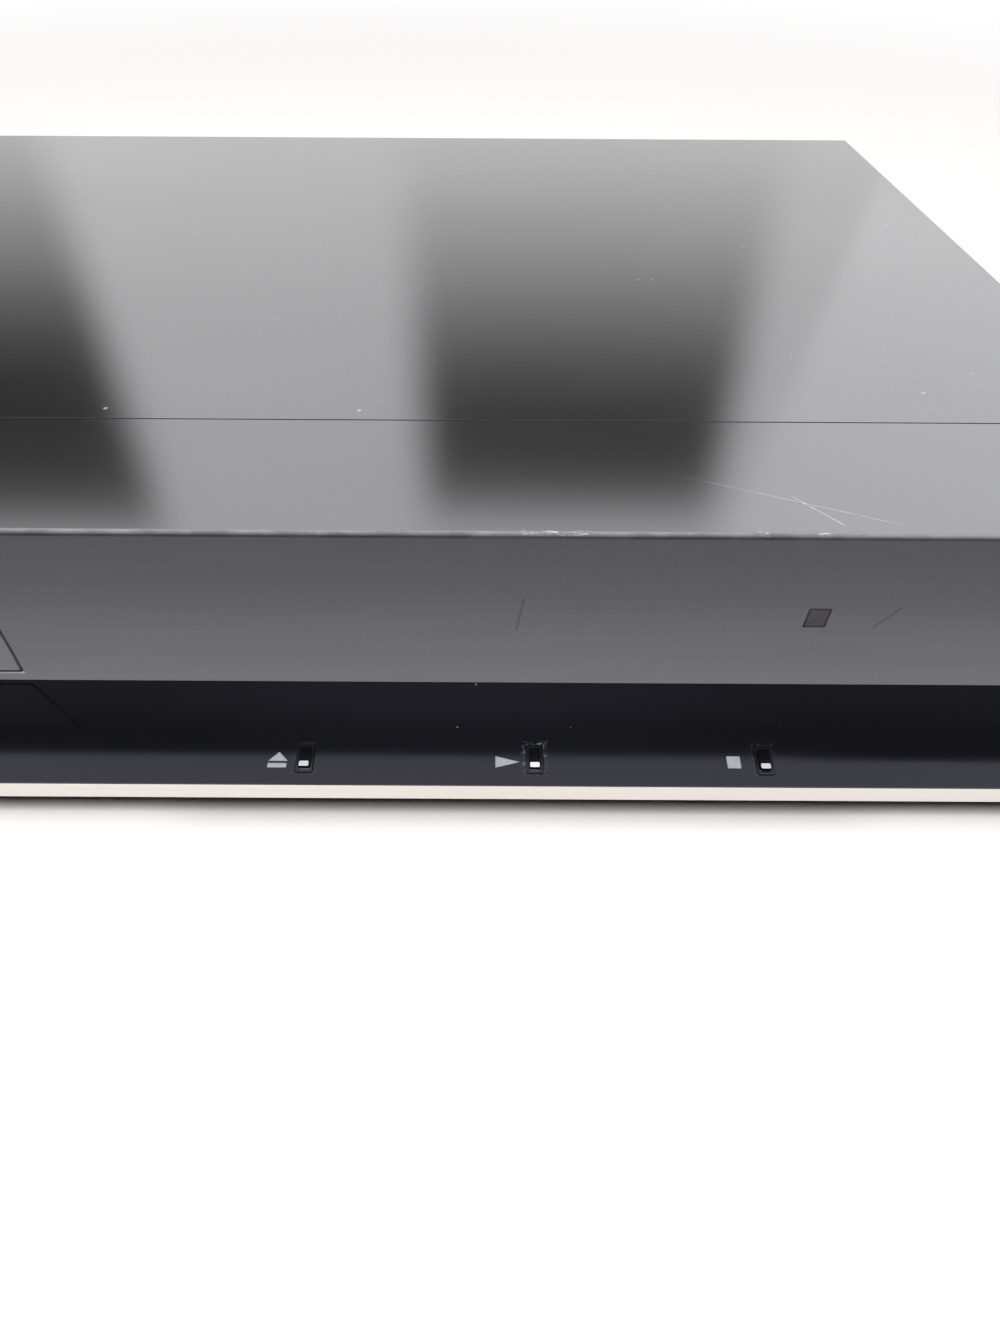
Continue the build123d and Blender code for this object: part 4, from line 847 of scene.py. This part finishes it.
# ------------------------------------------------------------------ operators
class PLAYER_OT_stage(Operator):
    """Make the floor, the lamps, the soft surroundings and the camera"""
    bl_idname = "player.stage"
    bl_label = "Stage"

    def execute(self, context):
        look = context.scene.disc_player.stage
        select_none()
        bpy.ops.mesh.primitive_plane_add(size=8.0, location=(0, 0, 0))
        floor = new_piece("floor")
        surface = Finish("White floor", look.floor_white, 0.7, Specular_IOR_Level=0.2)
        paper = surface.noise(40.0, detail=3.0)
        surface.tint(paper, 0.985, 1.0)
        material = surface.done()
        self.whiten(surface, look.seen_white, look.mirrored_white)
        floor.data.materials.append(material)
        self.lamps(look)
        self.cards()
        self.surroundings(look)
        self.camera(look)
        return {"FINISHED"}

    def whiten(self, surface, seen_level, mirrored_level):
        """The camera, and what mirrors the floor, see it white. It throws less light back at the object."""
        path = surface.node("LightPath").outputs
        mirrored = surface.math("MAXIMUM", path["Is Glossy Ray"], path["Is Transmission Ray"])
        seen = surface.math("MAXIMUM", path["Is Camera Ray"], mirrored)
        # The camera sees the floor with painted shade close under the player's edges.
        in_view = surface.times(path["Is Camera Ray"], surface.times(self.painted_contact_shade(surface), seen_level))
        warm = surface.node("VectorMath")
        warm.operation = "SCALE"
        warm.inputs[0].default_value = (1.0, 0.965, 0.94)
        surface.put(warm.inputs["Scale"], surface.add(in_view, surface.times(mirrored, mirrored_level)))
        white = surface.node("BsdfDiffuse", Color=warm.outputs["Vector"])
        reach = surface.from_middle(surface.axis("X"), surface.axis("Y"))
        far = surface.times(surface.range(reach, *BACKDROP_REACH), path["Is Camera Ray"])
        backdrop = surface.node("Emission", Strength=1.0)
        ground = surface.blend(far, white.outputs["BSDF"], backdrop.outputs["Emission"])
        ground = surface.blend(seen, surface.shader.outputs["BSDF"], ground)
        surface.put(surface.output.inputs["Surface"], ground)

    def painted_contact_shade(self, surface):
        """Painted shade: darkens the floor's seen colour close under the player's edges, from ambient
        occlusion.
        """
        nook = surface.node("AmbientOcclusion", Distance=9.0 * MM)
        nook.samples = 8
        return surface.range(nook.outputs["AO"], 0.40, 0.85, 0.50, 1.0)

    def lamps(self, look):
        """A soft lamp high in front, and a weak one behind."""
        for name, place, size, power in (
            ("front lamp", (0.0, -0.56, 1.42), 0.8, look.lamp_power),
            ("rear lamp", (1.15, 1.3, 1.0), 1.1, look.rear_power),
        ):
            lamp = bpy.data.lights.new(name, "AREA")
            lamp.shape = "SQUARE"
            lamp.size = size
            lamp.energy = power
            holder = bpy.data.objects.new(name, lamp)
            bpy.context.scene.collection.objects.link(holder)
            holder.location = place
            aim = Vector(LAMP_AIM) - Vector(place)
            holder.rotation_euler = aim.to_track_quat("-Z", "Y").to_euler()

    def cards(self):
        """Dark cards behind the player. Only its glossy surfaces see them."""
        for name, left, right, low, high in (
            ("left card", -1.10, -0.27, 0.08, 0.570), ("middle card", -0.035, 0.340, 0.12, 0.545),
        ):
            select_none()
            bpy.ops.mesh.primitive_plane_add(
                size=1.0, location=((left + right) / 2, CARD_PLACE, (low + high) / 2),
                rotation=(pi / 2, 0.0, 0.0))
            card = new_piece(name)
            card.scale = (right - left, high - low, 1.0)
            leave_in_mesh(card)
            card.data.materials.append(self.soft_card(name, left, right, low, high))
            card.visible_camera = False
            card.visible_shadow = False
            card.visible_diffuse = False

    def soft_card(self, name, left, right, low, high):
        """Dark paper that fades out towards its edges."""
        paper = Finish(name, (0.01, 0.01, 0.01), 0.9, Specular_IOR_Level=0.0)
        x, z = paper.axis("X"), paper.axis("Z")
        fade, slow_fade = 0.06, 0.30
        shape = paper.times(
            paper.between(x, left + fade, right - fade, fade),
            paper.times(paper.range(z, low, low + slow_fade), paper.range(z, high - fade, high, 1.0, 0.0)),
        )
        clear = paper.node("BsdfTransparent")
        faded = paper.blend(shape, clear.outputs["BSDF"], paper.shader.outputs["BSDF"])
        paper.put(paper.output.inputs["Surface"], faded)
        return paper.done()

    def surroundings(self, look):
        """White to the camera and in mirrors. The light comes from a soft ceiling, a little behind."""
        world = bpy.data.worlds.new("Soft surroundings")
        bpy.context.scene.world = world
        world.use_nodes = True
        tree = world.node_tree
        tree.nodes.clear()
        output = tree.nodes.new("ShaderNodeOutputWorld")
        light = tree.nodes.new("ShaderNodeBackground")
        seen = tree.nodes.new("ShaderNodeBackground")
        seen.inputs["Color"].default_value = (1.0, 1.0, 1.0, 1.0)
        seen.inputs["Strength"].default_value = 1.0
        light.inputs["Color"].default_value = (0.97, 0.98, 1.0, 1.0)
        direction = tree.nodes.new("ShaderNodeTexCoord")
        towards = tree.nodes.new("ShaderNodeVectorMath")
        towards.operation = "DOT_PRODUCT"
        towards.inputs[1].default_value = (0.0, 0.34, 0.94)
        tree.links.new(direction.outputs["Generated"], towards.inputs[0])
        cap = tree.nodes.new("ShaderNodeMapRange")
        cap.interpolation_type = "SMOOTHSTEP"
        cap.inputs["From Min"].default_value = cos(radians(50.0))
        cap.inputs["From Max"].default_value = cos(radians(30.0))
        cap.inputs["To Min"].default_value = look.sky_level
        cap.inputs["To Max"].default_value = look.cap_level
        tree.links.new(towards.outputs["Value"], cap.inputs["Value"])
        tree.links.new(cap.outputs["Result"], light.inputs["Strength"])
        path = tree.nodes.new("ShaderNodeLightPath")
        looked_at = path.outputs["Is Camera Ray"]
        for ray in ("Is Glossy Ray", "Is Transmission Ray"):
            either = tree.nodes.new("ShaderNodeMath")
            either.operation = "MAXIMUM"
            tree.links.new(looked_at, either.inputs[0])
            tree.links.new(path.outputs[ray], either.inputs[1])
            looked_at = either.outputs[0]
        mix = tree.nodes.new("ShaderNodeMixShader")
        tree.links.new(looked_at, mix.inputs[0])
        tree.links.new(light.outputs[0], mix.inputs[1])
        tree.links.new(seen.outputs[0], mix.inputs[2])
        tree.links.new(mix.outputs[0], output.inputs["Surface"])

    def camera(self, look):
        """A wide lens close in front of the ledge, looking down."""
        data = bpy.data.cameras.new("photo view")
        data.sensor_width = 36.0
        data.lens = look.lens
        data.clip_start = 0.005
        eye = bpy.data.objects.new("photo view", data)
        bpy.context.scene.collection.objects.link(eye)
        turn = Matrix.Rotation(pi / 2 - look.camera_dip, 4, "X") @ Matrix.Rotation(look.camera_roll, 4, "Z")
        eye.matrix_world = Matrix.Translation(look.camera_place) @ turn
        bpy.context.scene.camera = eye
        bpy.context.scene.view_settings.view_transform = "Standard"


class PLAYER_OT_front(Operator):
    """Round and paint the front panel"""
    bl_idname = "player.front"
    bl_label = "Front panel"

    def execute(self, context):
        look = context.scene.disc_player.case
        paint = front_paint(look)
        rounded_copy("front_panel", "front_moulding", "player", look.moulding_round, paint)
        return {"FINISHED"}


class PLAYER_OT_door(Operator):
    """Round and paint the tray's door"""
    bl_idname = "player.door"
    bl_label = "Tray door"

    def execute(self, context):
        look = context.scene.disc_player.case
        paint = satin_paint("Brushed grey door", look.door_grey, **FACE_PAINT).done()
        rounded_copy("tray_door", "door_moulding", "tray_body", look.moulding_round, paint)
        return {"FINISHED"}


class PLAYER_OT_ledge(Operator):
    """Round and finish the gloss ledge and the pale strip along its edge"""
    bl_idname = "player.ledge"
    bl_label = "Ledge"

    def execute(self, context):
        look = context.scene.disc_player.case
        gloss = ledge_gloss(look)
        pale = pale_metal(look)
        rounded_copy("ledge_panel", "ledge_moulding", "player", LEDGE_ROUND, gloss)
        rounded_copy("front_trim", "plated_strip", "player", LEDGE_ROUND, pale)
        return {"FINISHED"}


class PLAYER_OT_window(Operator):
    """Round and colour the window in the front panel"""
    bl_idname = "player.window"
    bl_label = "Window"

    def execute(self, context):
        smoke = smoke_window()
        rounded_copy("sensor_window", "window_pane", "player", WINDOW_ROUND, smoke)
        return {"FINISHED"}


class PLAYER_OT_cover(Operator):
    """Round and paint the top cover"""
    bl_idname = "player.cover"
    bl_label = "Top cover"

    def execute(self, context):
        look = context.scene.disc_player.case
        paint = painted_steel(look)
        rounded_copy("top_cover", "cover_sheet", "player", look.sheet_round, paint)
        return {"FINISHED"}


class PLAYER_OT_feet(Operator):
    """Round the rubber feet"""
    bl_idname = "player.feet"
    bl_label = "Feet"

    def execute(self, context):
        black = rubber("Rubber feet")
        rounded_copy("feet", "rubber_feet", "player", FOOT_ROUND, black, segments=3)
        return {"FINISHED"}


class PLAYER_OT_keys(Operator):
    """Round and colour the keys and their inlays"""
    bl_idname = "player.keys"
    bl_label = "Keys"

    def execute(self, context):
        look = context.scene.disc_player.keys_look
        black = key_plastic(look)
        pale = inlay_painted_highlight(look)
        for key in ("eject", "play", "stop", "power"):
            body = f"{key}_key_body"
            rounded_copy(f"{key}_key", f"{key}_cap", body, look.key_round, black)
            # The inlays' pale colour is painted highlight on each key's nub.
            rounded_copy(f"{key}_inlay", f"{key}_painted_highlight_inlay", body, look.key_round / 2, pale)
        return {"FINISHED"}


class PLAYER_OT_signs(Operator):
    """Print the plain signs for eject, play, stop and power beside the keys"""
    bl_idname = "player.signs"
    bl_label = "Signs"

    def execute(self, context):
        look = context.scene.disc_player.keys_look
        self.height = 2 * look.print_height
        self.finish = ink(look)
        up = 1 / cos(LEDGE_SLOPE)
        self.bar("eject_sign_bar", 41.45, 44.35, 2.68 * up, 3.45 * up)
        self.triangle("eject_sign_head", 41.45, 44.48, 3.80 * up, 5.34 * up)
        self.triangle("play_sign", 75.97, 79.72, 2.86 * up, 4.82 * up, to_the_right=True)
        self.bar("stop_sign", 111.18, 113.25, 2.96 * up, 5.01 * up)
        self.power_ring("power_sign_ring")
        self.bar("power_sign_stroke", -169.17, -168.83, 3.95 * up, 5.25 * up)
        return {"FINISHED"}

    def settle(self, piece, x, back):
        """Inks a sign and lays it in its place."""
        piece.data.materials.append(self.finish)
        lay_on_ledge(piece, x, back)
        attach(piece, "player")

    def bar(self, name, left, right, near, far):
        """A bar between two places across and two distances behind the ledge's edge, in millimetres."""
        piece = sign_bar(name, (right - left) * MM, (far - near) * MM, self.height, BAR_CORNER)
        self.settle(piece, (left + right) / 2 * MM, (near + far) / 2 * MM)

    def triangle(self, name, left, right, near, far, to_the_right=False):
        """A triangle in the same kind of box, pointing to the rear or to the right."""
        base, rise, turn = (right - left) * MM, (far - near) * MM, 0.0
        if to_the_right:
            base, rise, turn = rise, base, -pi / 2
        piece = sign_triangle(name, base, rise, self.height, TRIANGLE_CORNER, turn)
        self.settle(piece, (left + right) / 2 * MM, (near + far) / 2 * MM)

    def power_ring(self, name):
        """An open ring: a flat ring with the part behind the stroke cut away."""
        select_none()
        bpy.ops.mesh.primitive_cylinder_add(
            vertices=48, radius=RING_RADIUS, depth=self.height, location=(0, 0, 0))
        piece = new_piece(name)
        bpy.ops.object.mode_set(mode="EDIT")
        bpy.ops.mesh.select_all(action="DESELECT")
        bpy.ops.object.mode_set(mode="OBJECT")
        for face in piece.data.polygons:
            face.select = abs(face.normal.z) > 0.5
        bpy.ops.object.mode_set(mode="EDIT")
        bpy.ops.mesh.select_mode(type="FACE")
        bpy.ops.mesh.inset(thickness=RING_WIDTH, use_individual=True)
        bpy.ops.mesh.bridge_edge_loops()
        bpy.ops.object.mode_set(mode="OBJECT")
        for face in piece.data.polygons:
            centre = face.center
            face.select = centre.y > 0 and abs(centre.x) < RING_GAP / 2
        bpy.ops.object.mode_set(mode="EDIT")
        bpy.ops.mesh.delete(type="FACE")
        bpy.ops.mesh.select_all(action="SELECT")
        bpy.ops.mesh.select_mode(type="EDGE")
        bpy.ops.mesh.select_all(action="DESELECT")
        bpy.ops.mesh.select_non_manifold()
        bpy.ops.mesh.edge_face_add()
        bpy.ops.object.mode_set(mode="OBJECT")
        outwards(piece)
        self.settle(piece, -169.0 * MM, 3.95 * MM)


class PLAYER_OT_loader(Operator):
    """Finish the tray, its gears and motors, the traverse and the clamp"""
    bl_idname = "player.loader"
    bl_label = "Loader"

    def execute(self, context):
        inner = context.scene.disc_player.inner
        white = moulded_plastic("Milky gear plastic", inner.slide_white, 0.36)
        ground = plated_steel("Ground steel", (0.60, 0.60, 0.60), 0.02, 0.18)
        give(shared_finish("Dark grey moulding", inner), "loader_frame", "traverse_frame")
        give(shared_finish("Black moulding", inner), "tray", "turntable", "lens_holder")
        give(white, "drive_gear", "pulley_gear", "motor_pulley", "cam_slider", "clamper")
        give(
            shared_finish("Plated steel", inner),
            "loading_motor", "spindle_motor", "sled_motor", "clamp_bridge", "clamper_yoke")
        give(ground, "guide_rods", "lead_screw")
        give(shared_finish("Cast alloy", inner), "pickup_sled")
        give(rubber("Black rubber"), "drive_belt")
        give(glass_lens(), "objective_lens")
        return {"FINISHED"}


class PLAYER_OT_boards(Operator):
    """Finish the boards and the parts on them"""
    bl_idname = "player.boards"
    bl_label = "Boards"

    def execute(self, context):
        inner = context.scene.disc_player.inner
        brown = circuit_board(
            "Paper board", inner.board_brown, (0.31, 0.17, 0.07), (0.55, 0.54, 0.50), 5.0 * MM)
        green = circuit_board(
            "Glass board", inner.board_green, (0.035, 0.19, 0.075), (0.60, 0.59, 0.55), 2.6 * MM)
        give(brown, "sensor_board", "key_board", "power_key_board", "power_board")
        give(green, "main_board")
        give(shared_finish("Black moulding", inner), "remote_receiver")
        give(
            shared_finish("Dark grey moulding", inner),
            "key_switches", "eject_plunger", "play_plunger", "stop_plunger", "power_plunger")
        give(chip_top(), "main_chip")
        give(shared_finish("Cast alloy", inner), "heat_sink")
        give(sleeved_can("Small capacitors", (0.015, 0.020, 0.045), "capacitors"), "capacitors")
        give(sleeved_can("Bulk capacitor", (0.014, 0.014, 0.016), "bulk_capacitor"), "bulk_capacitor")
        give(wound_core(), "transformer")
        return {"FINISHED"}


class PLAYER_OT_pan(Operator):
    """Finish the bottom pan, the sockets in its rear wall and all screws"""
    bl_idname = "player.pan"
    bl_label = "Pan, sockets and screws"

    def execute(self, context):
        inner = context.scene.disc_player.inner
        give(shared_finish("Plated steel", inner), "bottom_pan")
        give(jack_metal(), "phono_jacks")
        screw_steel = plated_steel("Screw steel", (0.42, 0.42, 0.43), 0.04, 0.30)
        give(shared_finish("Black moulding", inner), "power_inlet")
        give(
            screw_steel,
            "video_socket", "key_board_screws", "cover_screws", "panel_screws", "small_screws",
            "inner_screws")
        return {"FINISHED"}


class DiscPlayerLook(PropertyGroup):
    """All settings of the player."""
    case: PointerProperty(type=CaseLook)
    keys_look: PointerProperty(type=KeyLook)
    inner: PointerProperty(type=InnerLook)
    stage: PointerProperty(type=StageLook)


STAGE_STEPS = (PLAYER_OT_stage,)
CASE_STEPS = (
    PLAYER_OT_front, PLAYER_OT_door, PLAYER_OT_ledge, PLAYER_OT_window, PLAYER_OT_cover,
    PLAYER_OT_feet,
)
KEY_STEPS = (PLAYER_OT_keys, PLAYER_OT_signs)
INNER_STEPS = (PLAYER_OT_loader, PLAYER_OT_boards, PLAYER_OT_pan)


class PLAYER_PT_panel(Panel):
    """Lists the steps that make the player"""
    bl_idname = "PLAYER_PT_panel"
    bl_label = "Disc Player"
    bl_space_type = "VIEW_3D"
    bl_region_type = "UI"
    bl_category = "Disc Player"

    def draw(self, context):
        look = context.scene.disc_player
        for settings, steps in (
            (look.stage, STAGE_STEPS),
            (look.case, CASE_STEPS),
            (look.keys_look, KEY_STEPS),
            (look.inner, INNER_STEPS),
        ):
            box = self.layout.box()
            for name in settings.bl_rna.properties.keys():
                if name not in ("rna_type", "name"):
                    box.prop(settings, name)
            for step in steps:
                box.operator(step.bl_idname)


CLASSES = (
    CaseLook, KeyLook, InnerLook, StageLook, DiscPlayerLook,
    *STAGE_STEPS, *CASE_STEPS, *KEY_STEPS, *INNER_STEPS, PLAYER_PT_panel,
)


def register():
    for item in CLASSES:
        bpy.utils.register_class(item)
    bpy.types.Scene.disc_player = PointerProperty(type=DiscPlayerLook)


def unregister():
    del bpy.types.Scene.disc_player
    for item in reversed(CLASSES):
        bpy.utils.unregister_class(item)


def main():
    register()
    bpy.ops.player.stage()
    bpy.ops.player.front()
    bpy.ops.player.door()
    bpy.ops.player.ledge()
    bpy.ops.player.window()
    bpy.ops.player.cover()
    bpy.ops.player.feet()
    bpy.ops.player.keys()
    bpy.ops.player.signs()
    bpy.ops.player.loader()
    bpy.ops.player.boards()
    bpy.ops.player.pan()


if __name__ == "__main__":
    main()
